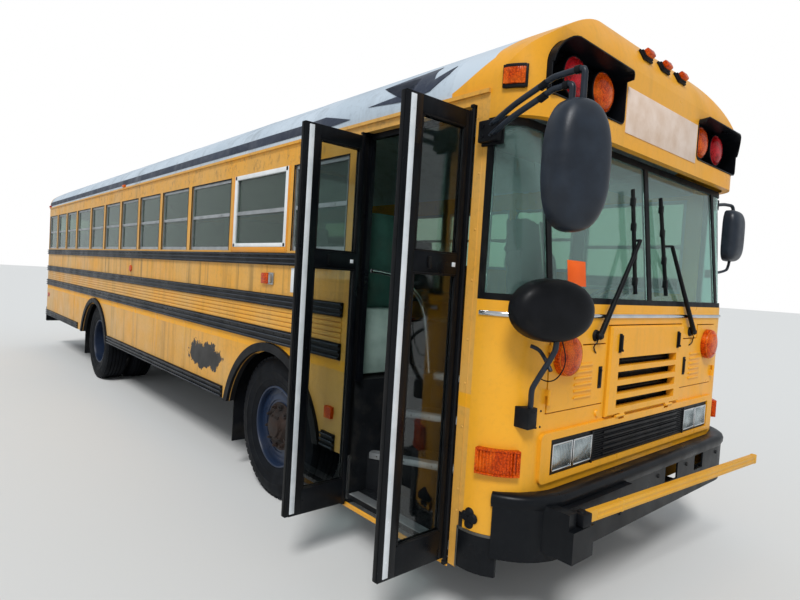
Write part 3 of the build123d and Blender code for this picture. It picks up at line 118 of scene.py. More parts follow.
# %% [markdown]
# ## Colours and nodes
# Colours are written as sRGB hex, because that is how paint charts give them, and turned to linear
# by one function. One more adds a node of any kind with its settings and links.


# %% Colour and node helpers
def linear(code):
    """An sRGB hex colour as linear red, green, blue and alpha."""
    parts = [int(code[k:k + 2], 16) / 255 for k in (0, 2, 4)]
    return [c / 12.92 if c <= 0.04045 else ((c + 0.055) / 1.055) ** 2.4 for c in parts] + [1.0]


def add(tree, kind, inputs=(), out=None, **settings):
    """A shader node with its settings, and its inputs set or linked, by place or by name.

    A hex code is a colour. With out, the answer is that output and not the node.
    """
    made = tree.nodes.new("ShaderNode" + kind)
    for key, value in settings.items():
        setattr(made, key, value)
    for key, value in inputs.items() if isinstance(inputs, dict) else enumerate(inputs):
        socket = made.inputs[key]
        if isinstance(value, bpy.types.NodeSocket):
            tree.links.new(value, socket)
        else:
            socket.default_value = linear(value) if isinstance(value, str) else value
    return made if out is None else made.outputs[out]


def start(name):
    """A new material with its tree emptied to a shader and the object's own coordinates."""
    made = bpy.data.materials.new(name)
    made.use_nodes = True
    tree = made.node_tree
    tree.nodes.clear()
    shader = add(tree, "BsdfPrincipled")
    end = add(tree, "OutputMaterial")
    tree.links.new(shader.outputs[0], end.inputs["Surface"])
    place = add(tree, "TexCoord").outputs["Object"]
    return made, tree, shader, place


def grain(tree, place, scale, detail=4.0, stretch=(1, 1, 1), roughness=0.5):
    """Soft noise, finer with a larger scale and drawn out where a stretch is under one."""
    spread = add(tree, "Mapping", {"Vector": place, "Scale": stretch})
    settings = {"Vector": spread.outputs[0], "Scale": scale, "Detail": detail, "Roughness": roughness}
    return add(tree, "TexNoise", settings).outputs["Fac"]


# %% [markdown]
# ## Paint that has stood outside
# Bus yellow is an alkyd enamel on steel. Years of sun chalk it, so it pales in clouds about a metre wide,
# rain draws grey streaks down from every rail and window, and rust starts as small specks.
# One recipe covers every painted panel, with its own colours and its own amount of wear.


# %% Weathered enamel
def enamel(name, fresh, chalky, dirt, wear, gloss, specks=0.0, streaks=1.0, shine=0.35):
    """A sprayed enamel coat. Wear is how far it has chalked, and specks how much rust shows."""
    made, tree, shader, place = start(name)
    clouds = add(tree, "MapRange", (grain(tree, place, 1.3, 5.0), 0.42, 0.66, 0.0, wear), 0)
    colour = add(tree, "Mix", {0: clouds, 6: fresh, 7: chalky}, 2, data_type="RGBA")
    drawn = grain(tree, place, 7.0, 6.0, (1, 1, 0.09), 0.6)
    runs = add(tree, "MapRange", (drawn, 0.52, 0.72, 0.0, 0.55 * streaks * wear), 0)
    colour = add(tree, "Mix", {0: runs, 6: colour, 7: dirt}, 2, data_type="RGBA")
    mottle = add(tree, "MapRange", (grain(tree, place, 38.0, 6.0, (1, 1, 1), 0.65), 0.50, 0.74, 0.0,
                                    0.35 * wear), 0)
    colour = add(tree, "Mix", {0: mottle, 6: colour, 7: dirt}, 2, data_type="RGBA")
    height = add(tree, "SeparateXYZ", (place,), "Z")
    low_down = add(tree, "MapRange", (height, 1.0, 0.5), 0)
    splash = add(tree, "Math", (low_down, grain(tree, place, 9.0, 5.0)), 0, operation="MULTIPLY")
    splash = add(tree, "Math", (splash, 0.55 * wear), 0, operation="MULTIPLY")
    colour = add(tree, "Mix", {0: splash, 6: colour, 7: dirt}, 2, data_type="RGBA")
    if specks:
        spots = grain(tree, place, 30.0, 8.0, (1, 1, 1), 0.72)
        spots = add(tree, "MapRange", (spots, 0.735 - 0.08 * specks, 0.80, 0.0, 1.0), 0)
        colour = add(tree, "Mix", {0: spots, 6: colour, 7: "5A2E16"}, 2, data_type="RGBA")
    tree.links.new(colour, shader.inputs["Base Color"])
    rough = add(tree, "MapRange", (grain(tree, place, 6.0, 6.0), 0.3, 0.7, gloss, gloss + 0.22), 0)
    tree.links.new(rough, shader.inputs["Roughness"])
    shader.inputs["Specular IOR Level"].default_value = shine
    settings = {"Strength": 0.12, "Distance": 0.0006, "Height": grain(tree, place, 260.0, 2.0)}
    tree.links.new(add(tree, "Bump", settings, 0), shader.inputs["Normal"])
    return made


ENAMELS = {
    # Sprayed and kept glossy: a deep yellow with a clear highlight.
    "yellow_paint": enamel("bus_yellow_enamel", "EDA41B", "E6AE3E", "A07C34", 0.40, 0.26, 0.35),
    # The same coat after years of sun: paler in clouds and nearly matt.
    "side_paint": enamel("chalked_yellow_enamel", "E0A036", "D3A55C", "8E7343", 0.75, 0.40, 0.8),
    # Rolled onto the roof: a white with a cool blue cast, a painted reflection of the sky, dulled to grey in
    # patches.
    "white_paint": enamel("white_roof_enamel", "C3CFDA", "AFBDC9", "828B93", 0.9, 0.38, 0.1),
    # Coachwork black: the rails read as dark lines with a thin sheen.
    "black_paint": enamel("black_enamel", "07090D", "0D1015", "242628", 0.5, 0.24, shine=0.14),
    # Brushed onto the frame: matt black, greyed by road dust.
    "chassis_paint": enamel("chassis_black", "090A0C", "121315", "2E2B27", 0.9, 0.55, shine=0.12),
    # A blue-black coat that shows its blue only where light glances off.
    "wheel_paint": enamel("dark_wheel_enamel", "12233C", "1A3050", "2E2E30", 0.6, 0.25),
    # The arm and its like: a yellow a shade duller than the front.
    "arm_paint": enamel("arm_yellow_enamel", "DFA01F", "DDB04C", "8A7644", 0.45, 0.35),
    # Warm red, a little faded.
    "stop_paint": enamel("stop_red_enamel", "9C1C12", "A5382C", "6A4A40", 0.5, 0.35),
    # A dark stripe whose blue shows in the sun.
    "navy_paint": enamel("navy_stripe_enamel", "1E2638", "333C4E", "6C7178", 0.7, 0.35),
    # A dipped coat on plate: black and dull.
    "tank_steel": enamel("tank_black", "090A0C", "121315", "2E2B27", 0.8, 0.5, shine=0.12),
}
# The border painted round one window: orange beside the yellow.
ENAMELS["orange_border"] = enamel("orange_border_enamel", "E0901A", "D99A38", "8B7340", 0.4, 0.35)
# Vinyl film: a plain, even white.
ENAMELS["white_film"] = enamel("white_vinyl_film", "DCE0E2", "CED3D6", "9EA2A4", 0.4, 0.4)
# The front cap: the same yellow, shinier than the sides.
ENAMELS["cap_paint"] = enamel("front_cap_enamel", "E9A01C", "E0A83E", "A07C34", 0.45, 0.27, 0.35)
print("enamels", len(ENAMELS))

# %% [markdown]
# ## Second coats
# The sides carry more than one paint: a brighter stripe under the lower rail, a black patch of primer,
# dirt that has run down from the sills, and a paler rear. The front cap is white behind a curved line.
# Each is a coat laid over the first, with a mask worked out from the height and the place along the bus.


# %% Masks and coats
def over(made, code, *masks):
    """Another colour over a finish where every mask is one."""
    tree = made.node_tree
    shader = next(n for n in tree.nodes if n.type == "BSDF_PRINCIPLED")
    below = shader.inputs["Base Color"].links[0].from_socket
    where = masks[-1]
    for mask in reversed(masks[:-1]):
        where = add(tree, "Math", (mask, where), 0, operation="MULTIPLY")
    coat = add(tree, "Mix", {0: where, 6: below, 7: code}, 2, data_type="RGBA")
    tree.links.new(coat, shader.inputs["Base Color"])


def between(tree, value, low, high, soft):
    """One between two values and zero outside, with soft ends."""
    rise = add(tree, "MapRange", (value, low - soft, low + soft), 0)
    fall = add(tree, "MapRange", (value, high + soft, high - soft), 0)
    return add(tree, "Math", (rise, fall), 0, operation="MULTIPLY")


def axes(made):
    tree = made.node_tree
    place = next(n for n in tree.nodes if n.type == "TEX_COORD").outputs["Object"]
    parts = add(tree, "SeparateXYZ", (place,)).outputs
    return tree, place, parts["X"], parts["Y"], parts["Z"]


side = ENAMELS["side_paint"]
tree, place, x, y, z = axes(side)
# The rear end is bleached by the sun.
rearward = add(tree, "MapRange", (x, along(-3.0), along(-10.4), 0.0, 0.6), 0)
clouds = add(tree, "MapRange", (grain(tree, place, 1.7, 5.0), 0.3, 0.6), 0)
over(side, "C8AC84", rearward, clouds)
# Dirt has run down from the window sills, from the rails and from the roof's edge.
drips = add(tree, "MapRange", (grain(tree, place, 13.0, 5.0, (1, 1, 0.035), 0.62), 0.50, 0.66), 0)
uneven = add(tree, "MapRange", (grain(tree, place, 1.1, 3.0), 0.35, 0.6, 0.25, 0.8), 0)
over(side, "80652F", drips, between(tree, z, 1.42, 1.66, 0.03), uneven)
drips = add(tree, "MapRange", (grain(tree, place, 9.0, 6.0, (1, 1, 0.05), 0.65), 0.53, 0.72, 0.0, 0.6), 0)
over(side, "8C6A3A", drips, between(tree, z, 0.56, 1.10, 0.05))
blots = add(tree, "MapRange", (grain(tree, place, 21.0, 8.0, (1, 1, 0.6), 0.7), 0.54, 0.66, 0.0, 0.65), 0)
over(side, "8E6B3E", blots, between(tree, z, 2.33, 2.46, 0.02))
# A brighter stripe under the flutes.
worn = add(tree, "MapRange", (grain(tree, place, 20.0, 5.0), 0.25, 0.42), 0)
over(side, "EBA41A", between(tree, z, 1.042, 1.106, 0.003), worn)
# Black primer on the right side: an oval, 0.8 m long, whose edge is broken up by noise.
squares = []
for value, middle, half in ((x, along(-3.215), 0.40), (z, 0.852, 0.135)):
    part = add(tree, "Math", (value, middle), 0, operation="SUBTRACT")
    part = add(tree, "Math", (part, 1 / half), 0, operation="MULTIPLY")
    squares.append(add(tree, "Math", (part, part), 0, operation="MULTIPLY"))
away = add(tree, "Math", squares, 0, operation="ADD")
torn = add(tree, "MapRange", (grain(tree, place, 9.0, 7.0, (1, 1, 1), 0.7), 0.3, 0.7, -0.55, 0.75), 0)
ragged = add(tree, "Math", (away, torn), 0, operation="ADD")
on_the_right = add(tree, "MapRange", (y, 0.02, 0.0), 0)
over(side, "2B2A29", add(tree, "MapRange", (ragged, 0.86, 0.80), 0), on_the_right)
# Only the skin's outer face is yellow: below the floor and round the entrance its inner face is black.
off_middle = add(tree, "Math", (y, 0.0), 0, operation="ABSOLUTE")
inner = add(tree, "MapRange", (off_middle, HALF_WIDTH - 0.0035, HALF_WIDTH - 0.0065), 0)
off_rear_wall = add(tree, "MapRange", (x, along(-10.360), along(-10.350)), 0)
inner = add(tree, "Math", (inner, off_rear_wall), 0, operation="MULTIPLY")
under_floor = add(tree, "MapRange", (z, 1.0, 0.99), 0)
by_the_door = between(tree, x, along(-1.275), along(-1.10), 0.002)
over(side, "0B0C0E", inner, add(tree, "Math", (under_floor, by_the_door), 0, operation="MAXIMUM"))

# The cap is white behind a line that climbs towards the rear.
cap = ENAMELS["cap_paint"]
tree, _, x, _, z = axes(cap)
behind = add(tree, "Math", (x, along(-0.52)), 0, operation="SUBTRACT")
behind = add(tree, "MapRange", (behind, 0.0, 1.0), 0)
climb = add(tree, "Math", (behind, 1.5), 0, operation="POWER")
climb = add(tree, "Math", (climb, 0.95), 0, operation="MULTIPLY")
line = add(tree, "Math", (climb, 2.480), 0, operation="ADD")
above = add(tree, "Math", (z, line), 0, operation="SUBTRACT")
above = add(tree, "MapRange", (above, -0.001, 0.001), 0)
# The white behind the line is the roof's, with the same painted blue cast of the sky.
over(cap, "C3CFDA", above, add(tree, "MapRange", (x, along(-0.240), along(-0.243)), 0))
print("coats laid")

# %% [markdown]
# ## Rubber, plastic and bare metal
# Rubber and moulded plastic have no clouds of chalk, only a fine grain, some dust in patches
# and a soft edge to their shine. Metals keep the same recipe with their metallic value raised.
# The real grains are a fraction of a millimetre and too fine to show from here, so each is drawn a few
# millimetres wide.


# %% Grained solids
def grained(name, base, second, rough, grit_mm, depth=0.3, metallic=0.0, dust_and_sheen_share=0.3, dust_and_sheen_colour="6F6A60",
            shine=0.14):
    """A solid colour with a grain of the given size in millimetres, and dust in patches, which on the mirror
    plastic are a painted blue-grey sheen of the sky.
    """
    made, tree, shader, place = start(name)
    fine = grain(tree, place, 700.0 / grit_mm, 3.0)
    patches = add(tree, "MapRange", (grain(tree, place, 11.0, 5.0), 0.35, 0.7), 0)
    colour = add(tree, "Mix", {0: patches, 6: base, 7: second}, 2, data_type="RGBA")
    # Dust in patches; on the mirror plastic the patches are a painted blue-grey sheen of the sky.
    dust_and_sheen_patches = grain(tree, place, 4.0, 7.0, (1, 1, 1), 0.65)
    dust_and_sheen_patches = add(tree, "MapRange", (dust_and_sheen_patches, 0.5, 0.75, 0, dust_and_sheen_share), 0)
    colour = add(tree, "Mix", {0: dust_and_sheen_patches, 6: colour, 7: dust_and_sheen_colour}, 2, data_type="RGBA")
    tree.links.new(colour, shader.inputs["Base Color"])
    shader.inputs["Metallic"].default_value = metallic
    if not metallic:
        shader.inputs["Specular IOR Level"].default_value = shine
    spread = add(tree, "MapRange", (grain(tree, place, 16.0, 5.0), 0.3, 0.7, rough - 0.06, rough + 0.12), 0)
    tree.links.new(spread, shader.inputs["Roughness"])
    settings = {"Strength": depth, "Distance": grit_mm * 0.0002, "Height": fine}
    tree.links.new(add(tree, "Bump", settings, 0), shader.inputs["Normal"])
    return made


GRAINED = {
    # Cast iron: dark and rough, with a brown cast on the axles.
    "engine_iron": grained("cast_iron", "3A3B3C", "2A2A2B", 0.7, 6, 0.5, 0.6, 0.5),
    "axle_iron": grained("axle_casting", "242220", "322C26", 0.72, 5, 0.5, 0.4, 0.5),
    # Rolled and drawn steel: smoother, with a bloom of rust.
    "spring_steel": grained("spring_steel", "2B2724", "40342A", 0.65, 3, 0.4, 0.6, 0.5),
    "exhaust_steel": grained("exhaust_steel", "6A6460", "57493C", 0.5, 3, 0.3, 0.8, 0.3),
    # Moulded rubber underfoot: matt black whose grain catches a soft light.
    "floor_rubber": grained("floor_rubber", "121314", "1A1B1C", 0.6, 8, 0.4, 0.0, 0.25),
    "step_rubber": grained("step_rubber", "101215", "181A1D", 0.5, 14, 0.6, 0.0, 0.2),
    # Satin aluminium: pale sashes with a broad, blurred shine.
    "window_aluminium": grained("satin_aluminium", "B9BCBD", "A3A7A9", 0.36, 2, 0.12, 0.85, 0.15),
    # Extruded rubber: the darkest outlines on the bus.
    "seal_rubber": grained("glazing_rubber", "090A0C", "101114", 0.45, 4, 0.3, 0.0, 0.08),
    "trim_rubber": grained("arch_rubber", "0C0D10", "14161A", 0.5, 5, 0.4, 0.0, 0.12),
    # Vulcanised rubber: blue-black and matt, dusted with grey.
    "tyre_rubber": grained("tyre_rubber", "0A0C10", "12151A", 0.62, 5, 0.4, 0.0, 0.10, "3A3B3C", 0.10),
    # Moulded plastic: black in the grille. The mirrors' blue-grey, and the paler blue-grey of their patches, is
    # a painted reflection of the sky.
    "grille_plastic": grained("grille_plastic", "0A0B0E", "121317", 0.38, 4, 0.25, 0.0, 0.08),
    "mirror_plastic": grained("mirror_plastic", "1A2029", "232B36", 0.34, 4, 0.3, 0.0, 0.10, "525C68", 0.3),
    # Vinyl over foam: dark green with a leather grain.
    "seat_vinyl": grained("green_seat_vinyl", "24433B", "1C362F", 0.45, 4, 0.4, 0.0, 0.1),
    "driver_vinyl": grained("driver_seat_vinyl", "1F3A36", "192F2B", 0.45, 4, 0.4, 0.0, 0.1),
    # Moulded covers: black, and flatter than the paint beside them.
    "cover_plastic": grained("moulded_black_plastic", "15171A", "1D2023", 0.5, 5, 0.35, 0.0, 0.12),
    # Plated steel: a bright line that mirrors the sky and the ground.
    "bright_chrome": grained("chrome_plate", "D8DADB", "C3C6C8", 0.14, 2, 0.05, 1.0, 0.12),
    # Bare hubs: nearly black, rough and brown in patches.
    "rusted_iron": grained("rusted_hub_iron", "14100F", "281912", 0.75, 7, 0.7, 0.1, 0.25, "4A2C18"),
    # Printed films and paper: flat, even colour.
    "sign_film": grained("blank_sign_film", "E3CFC0", "D6BDA9", 0.4, 3, 0.1, 0.0, 0.35, "B58F66"),
    "orange_film": grained("orange_sticker_film", "F0641A", "E85A12", 0.4, 3, 0.05, 0.0, 0.05),
    "white_film": grained("white_paper", "E8EAEA", "DADDDD", 0.6, 3, 0.1, 0.0, 0.1),
    # Painted board and sheet inside: pale, so that the cabin can be read through the glass.
    "grey_board": grained("grey_green_panel", "8FA39C", "7F948C", 0.5, 5, 0.3, 0.0, 0.15),
    "ceiling_paint": grained("pale_ceiling_enamel", "B9C0BD", "A8B0AD", 0.5, 5, 0.15, 0.0, 0.1),
    # Silvered glass: a clear reflection.
    "mirror_glass": grained("silvered_glass", "AEB6BA", "A4ADB2", 0.05, 2, 0.01, 1.0, 0.05),
    # Anodised strip: a thin, bright, satin edge.
    "bright_strip": grained("anodised_edge_strip", "DDE1E4", "C9CFD3", 0.4, 2, 0.1, 0.0, 0.15),
    # Rub rail rib crests: greyer than the black round them, a painted highlight along each rib that also stands
    # for paint rubbed through there.
    "worn_black": grained("rubbed_rail_edge", "3A3F47", "4A4F57", 0.4, 3, 0.2, 0.0, 0.1),
    # Zinc-plated bolts: small dull glints.
    "bolt_steel": grained("zinc_bolts", "6F6E6A", "57534C", 0.45, 2, 0.2, 0.9, 0.3),
}
print("grained", len(GRAINED))

# %% [markdown]
# ## Glass and lenses
# Window glass is a thin tinted sheet. It reflects the sky strongly at a glancing angle and lets the dark
# cabin show through. Light is let past it to the seats by a transparent shader for shadow rays only,
# since a renderer would otherwise treat each pane as a lens and leave the cabin black.


# %% Glass
def glazing(name, tint, rough=0.02, dirt=0.0, film_share=0.0):
    """A clear tinted sheet. The share of film is how much of what is seen is a pale dusty skin on it."""
    made, tree, shader, place = start(name)
    shader.inputs["Base Color"].default_value = linear(tint)
    shader.inputs["Transmission Weight"].default_value = 1.0
    shader.inputs["IOR"].default_value = 1.45
    film = add(tree, "MapRange", (grain(tree, place, 5.0, 6.0, (1, 1, 0.4)), 0.45, 0.75, rough,
                                  rough + 0.05 + dirt), 0)
    tree.links.new(film, shader.inputs["Roughness"])
    clear = add(tree, "BsdfTransparent", {"Color": linear(tint)})
    shadow = add(tree, "LightPath").outputs["Is Shadow Ray"]
    skin = add(tree, "BsdfDiffuse", {"Color": linear("B9D6D2")})
    seen = add(tree, "MixShader", {0: film_share, 1: shader.outputs[0], 2: skin.outputs[0]})
    both = add(tree, "MixShader", {0: shadow, 1: seen.outputs[0], 2: clear.outputs[0]})
    end = next(n for n in tree.nodes if n.type == "OUTPUT_MATERIAL")
    tree.links.new(both.outputs[0], end.inputs["Surface"])
    return made


def lens(name, colour, deep, bright):
    """A moulded lamp lens: painted shade at its facets' edges, painted glints and a faint painted glow of its
    own colour stand for daylight its facets throw back.
    """
    made, tree, shader, place = start(name)
    # Painted shade: the colour deepens towards the edges of small cells, as lit facets would look.
    cells = add(tree, "TexVoronoi", {"Vector": place, "Scale": 120.0}).outputs["Distance"]
    edges = add(tree, "MapRange", (cells, 0.15, 0.75), 0)
    shade = add(tree, "Mix", {0: edges, 6: colour, 7: deep}, 2, data_type="RGBA")
    # Painted highlights: bright spots mixed into the colour.
    painted_glints = add(tree, "MapRange", (grain(tree, place, 14.0, 3.0), 0.45, 0.70, 0.0, 0.45), 0)
    shade = add(tree, "Mix", {0: painted_glints, 6: shade, 7: bright}, 2, data_type="RGBA")
    tree.links.new(shade, shader.inputs["Base Color"])
    # A painted glow: the lens gives off a little light of its own colour, though no lamp is lit.
    tree.links.new(shade, shader.inputs["Emission Color"])
    shader.inputs["Emission Strength"].default_value = 0.16
    shader.inputs["Roughness"].default_value = 0.2
    shader.inputs["Specular IOR Level"].default_value = 0.16
    settings = {"Strength": 0.3, "Distance": 0.001, "Height": cells}
    tree.links.new(add(tree, "Bump", settings, 0), shader.inputs["Normal"])
    return made


CLEAR = {
    # Float glass: grey-green at the sides, paler and greener in front, clearest in the doors.
    "tinted_glass": glazing("tinted_window_glass", "87A08A", 0.02, 0.0, 0.03),
    "screen_glass": glazing("windshield_glass", "A9D0C6", 0.01, 0.0, 0.10),
    "door_glass": glazing("door_glass", "B9C4C4", 0.02, 0.04),
    # Fluted glass over a reflector: silver broken up by its ribs.
    "lamp_glass": grained("fluted_headlamp_glass", "BEC7C9", "7A8487", 0.14, 7, 0.15, 0.9, 0.2, "4A5052"),
    # Moulded lenses: painted shade at the edges of their facets, painted glints inside them and a faint painted
    # glow.
    "amber_lens": lens("amber_lens", "CC4A06", "8C2A03", "F07A1C"),
    "red_lens": lens("red_lens", "A80B10", "5E0408", "D8303C"),
}

# %% [markdown]
# ## Finishes onto the frame
# The record says which slot each node takes, and the slot names a finish here. The side walls get the
# chalked yellow, because they have had more sun than the front.

# %% Assign the finishes
finishes = {}
for family in (ENAMELS, GRAINED, CLEAR):
    finishes.update(family)
slots = {part["node"]: part["material_slot"] for part in frame["record"]["subparts"]}
slots.update({name: "side_paint" for name in ("right_side_wall", "left_side_wall", "rear_wall", "rear_door")})
slots["front_cap"] = "cap_paint"


def dress(thing, finish):
    """Give a piece one finish in every slot it has."""
    thing.data.materials.clear()
    thing.data.materials.append(finish)


for name, thing in nodes.items():
    dress(thing, finishes[slots[name]])
print("dressed", len(nodes))

# %% [markdown]
# ## Tools of the bench
# Nearly every small fitting on a bus is a pressed plate, a turned part or a rivet. A plate starts as a
# cube whose edges are bevelled, a turned part as a profile that is spun, and a rivet as a short cone.
# Each helper adds to one open mesh, so that a whole set of like fittings ends up as one piece.


# %% Plates, pegs and turned parts
def slab(shape, x, y, z, soft=0.002, turn=None):
    """A plate between pairs of low and high values, with x counted from the windshield."""
    size = [abs(pair[1] - pair[0]) for pair in (x, y, z)]
    middle = spot_at(sum(x) / 2, sum(y) / 2, sum(z) / 2)
    place = Matrix.Translation(middle) @ (turn or Matrix()) @ Matrix.Diagonal((*size, 1))
    corners = bmesh.ops.create_cube(shape, size=1, matrix=place)["verts"]
    if soft:
        edges = list({edge for corner in corners for edge in corner.link_edges})
        bmesh.ops.bevel(shape, geom=edges, offset=soft, segments=2, profile=0.5, affect="EDGES", material=-1)


def peg(shape, foot, run, radius, tip=None, segments=16):
    """A round peg that starts at a foot and goes along a run, narrower at its tip if told so."""
    run = Vector(run)
    turn = Vector((0, 0, 1)).rotation_difference(run).to_matrix().to_4x4()
    middle = spot_at(*foot) + run / 2
    bmesh.ops.create_cone(shape, cap_ends=True, segments=segments, radius1=radius, depth=run.length,
                          radius2=radius if tip is None else tip, matrix=Matrix.Translation(middle) @ turn)


def lathe(shape, outline, centre, axis, steps=40, round_again=False):
    """A profile in radius and reach, spun once round an axis."""
    middle = spot_at(*centre)
    axis = Vector(axis)
    out = axis.orthogonal().normalized()
    points = [shape.verts.new(middle + out * radius + axis * reach) for radius, reach in outline]
    edges = [shape.edges.new(two) for two in zip(points, points[1:])]
    if round_again:
        edges.append(shape.edges.new((points[-1], points[0])))
    bmesh.ops.spin(shape, geom=points + edges, cent=middle, axis=axis, angle=2 * math.pi, steps=steps,
                   use_merge=True)


def about(middle, size):
    """Low and high values on each axis, for a plate of one size about a middle."""
    return [(centre - extent / 2, centre + extent / 2) for centre, extent in zip(middle, size)]


def everything(shape):
    return shape.verts[:] + shape.edges[:] + shape.faces[:]


def mirrored(shape):
    """The same again on the other side of the bus."""
    bmesh.ops.mirror(shape, geom=everything(shape), axis="Y", merge_dist=-1)


def made_of(kind, result):
    """The corners or edges that an operator has made."""
    return [part for part in result["geom"] if isinstance(part, kind)]


def thicken(shape, thickness):
    """Give open sheets a thickness, all on the same side."""
    bmesh.ops.recalc_face_normals(shape, faces=shape.faces[:])
    bmesh.ops.solidify(shape, geom=shape.faces[:], thickness=thickness)


def join(shape, part):
    """Add a finished mesh to a set that is still open."""
    mesh = bpy.data.meshes.new("part")
    part.to_mesh(mesh)
    part.free()
    shape.from_mesh(mesh)
    bpy.data.meshes.remove(mesh)


def ring_of(count, radius, start=0.0):
    """Evenly spaced places on a circle."""
    for step in range(count):
        angle = start + 2 * math.pi * step / count
        yield radius * math.cos(angle), radius * math.sin(angle)


made_pieces = []


def fit(shape, name, body, finish, sharp=35):
    """Close the mesh, point its faces outwards and fit it to a body with a finish."""
    bmesh.ops.remove_doubles(shape, verts=shape.verts, dist=0.00002)
    bmesh.ops.recalc_face_normals(shape, faces=shape.faces)
    for face in shape.faces:
        face.smooth = True
    mesh = bpy.data.meshes.new(name)
    shape.to_mesh(mesh)
    shape.free()
    mesh.set_sharp_from_angle(angle=math.radians(sharp))
    thing = bpy.data.objects.new(name, mesh)
    bpy.context.scene.collection.objects.link(thing)
    dress(thing, finishes[finish])
    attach(thing, body)
    made_pieces.append(thing)
    return thing


# %% [markdown]
# ## Stripes on the roof
# The navy band, its arrow point and the zigzag were sprayed over a mask. Here each is cut as a flat
# outline, sliced into narrow strips and laid on the roof's own cross section, so it bends over the
# shoulder as paint would. The cross section is two arcs, with the radii of the roof itself.

# %% The roof's cross section
SHOULDER_Z = 2.5
SHOULDER_R = 0.21
CROWN_Z = 3.03
SHOULDER_Y = HALF_WIDTH - SHOULDER_R
CROWN_R = (SHOULDER_Y**2 + (CROWN_Z - SHOULDER_Z)**2 - SHOULDER_R**2) / (2 * (CROWN_Z - SHOULDER_Z - SHOULDER_R))
CROWN_CENTRE = CROWN_Z - CROWN_R
JOINT_Z = CROWN_CENTRE + CROWN_R * (SHOULDER_Z - CROWN_CENTRE) / (CROWN_R - SHOULDER_R)


def half_width(z):
    """How far out the body's side lies at a height."""
    if z <= SHOULDER_Z:
        return HALF_WIDTH
    if z <= JOINT_Z:
        return SHOULDER_Y + math.sqrt(SHOULDER_R**2 - (z - SHOULDER_Z)**2)
    return math.sqrt(CROWN_R**2 - (z - CROWN_CENTRE)**2)


print("shoulder meets crown at", round(JOINT_Z, 3))

# %% Sprayed stripes
BAND = ((SHEET_REAR, 2.497), (-1.431, 2.500), (-1.271, 2.509), (-1.545, 2.571), (-1.82, 2.562),
        (SHEET_REAR, 2.562))
ZIGZAG = ((-1.118, 2.551), (-0.797, 2.57), (-0.743, 2.598), (-0.739, 2.644), (-1.048, 2.654), (-0.655, 2.701),
          (-0.61, 2.599), (-0.488, 2.649), (-0.512, 2.606), (-0.619, 2.538), (-0.787, 2.521))
shape = bmesh.new()
for outline in (BAND, ZIGZAG):
    shape.faces.new([shape.verts.new((along(x), 0, z)) for x, z in outline])
bmesh.ops.triangulate(shape, faces=shape.faces[:])
for step in range(26):
    cut = (0, 0, SHOULDER_Z + step * 0.008)
    bmesh.ops.bisect_plane(shape, geom=everything(shape), plane_co=cut, plane_no=(0, 0, 1))
for corner in shape.verts:
    corner.co.y = -half_width(corner.co.z) - 0.0022
grown = bmesh.ops.extrude_face_region(shape, geom=shape.faces[:])
bmesh.ops.translate(shape, verts=made_of(bmesh.types.BMVert, grown), vec=(0, -0.0009, 0.0003))
mirrored(shape)
fit(shape, "roof_stripes", BODY, "navy_paint")

# %% [markdown]
# ## Seams and rivets
# The roof sheets overlap on bows about a metre apart and are riveted there. Each joint is a narrow
# strip spun over both shoulder arcs and the crown arc. Rivets are six-sided cones: there are hundreds
# of them, and at 10 mm across nobody sees more sides than that.


# %% Roof joints
def hoop(shape, x, lift, wide):
    """A flat strip over the roof from eave to eave."""
    shoulder = Vector((0, -SHOULDER_Y, SHOULDER_Z))
    crown = Vector((0, 0, CROWN_CENTRE))
    ends = [shape.verts.new(spot_at(x + end * wide / 2, -HALF_WIDTH - lift, SHOULDER_Z)) for end in (-1, 1)]
    strip = ends + [shape.edges.new(ends)]
    lean = math.acos((SHOULDER_Z - CROWN_CENTRE) / (CROWN_R - SHOULDER_R))
    far_shoulder = Vector((0, SHOULDER_Y, SHOULDER_Z))
    turns = ((shoulder, math.pi / 2 - lean, 8), (crown, 2 * lean, 30), (far_shoulder, math.pi / 2 - lean, 8))
    for centre, angle, steps in turns:
        spun = bmesh.ops.spin(shape, geom=strip, cent=centre, axis=(-1, 0, 0), angle=angle, steps=steps)
        strip = spun["geom_last"]


JOINTS = (-1.88, -2.76, -4.43, -5.15, -5.86, -6.58, -7.31, -8.88, -9.59)
shape = bmesh.new()
for x in JOINTS:
    hoop(shape, x, 0.0012, 0.05)
thicken(shape, 0.0008)
fit(shape, "roof_joint_strips", BODY, "white_paint")
print("roof joints", len(JOINTS))


# %% Rivets
def rivet(shape, x, y, z, out, radius=0.005):
    peg(shape, (x, y, z), Vector(out) * 0.0024, radius, radius * 0.55, 6)


def over_an_arch(x):
    return any(rear < x < front for rear, front in ARCHES)


shape = bmesh.new()
ARCHES = ((-2.8, -1.4), (-7.7, -6.2))
PILLARS = (-1.88, -2.763, -3.66, -4.427, -5.149, -5.859, -6.582, -7.31, -8.161, -8.881, -9.588)
for side in SIDES:
    y = side * HALF_WIDTH
    out = (0, side, 0)
    for count in range(128):
        rivet(shape, -1.32 - count * 0.07, y, 2.452, out)
    for count in range(64):
        rivet(shape, -1.35 - count * 0.14, y, 1.63, out)
        rivet(shape, -1.35 - count * 0.14, y, 1.462, out)
    for x in PILLARS:
        for z in (1.49, 1.55, 1.61, 2.345, 2.38, 2.415):
            rivet(shape, x - 0.055, y, z, out)
            rivet(shape, x - 0.02, y, z, out)
        for z in (0.70, 0.79, 0.88, 0.97, 1.06):
            if not over_an_arch(x):
                rivet(shape, x - 0.037, y, z, out)
for z in (0.56, 0.66, 0.95, 1.15, 1.35, 1.62, 1.85, 2.1, 2.3):
    rivet(shape, -0.262, -HALF_WIDTH, z, (0, -1, 0), 0.007)
fit(shape, "side_rivets", BODY, "side_paint")

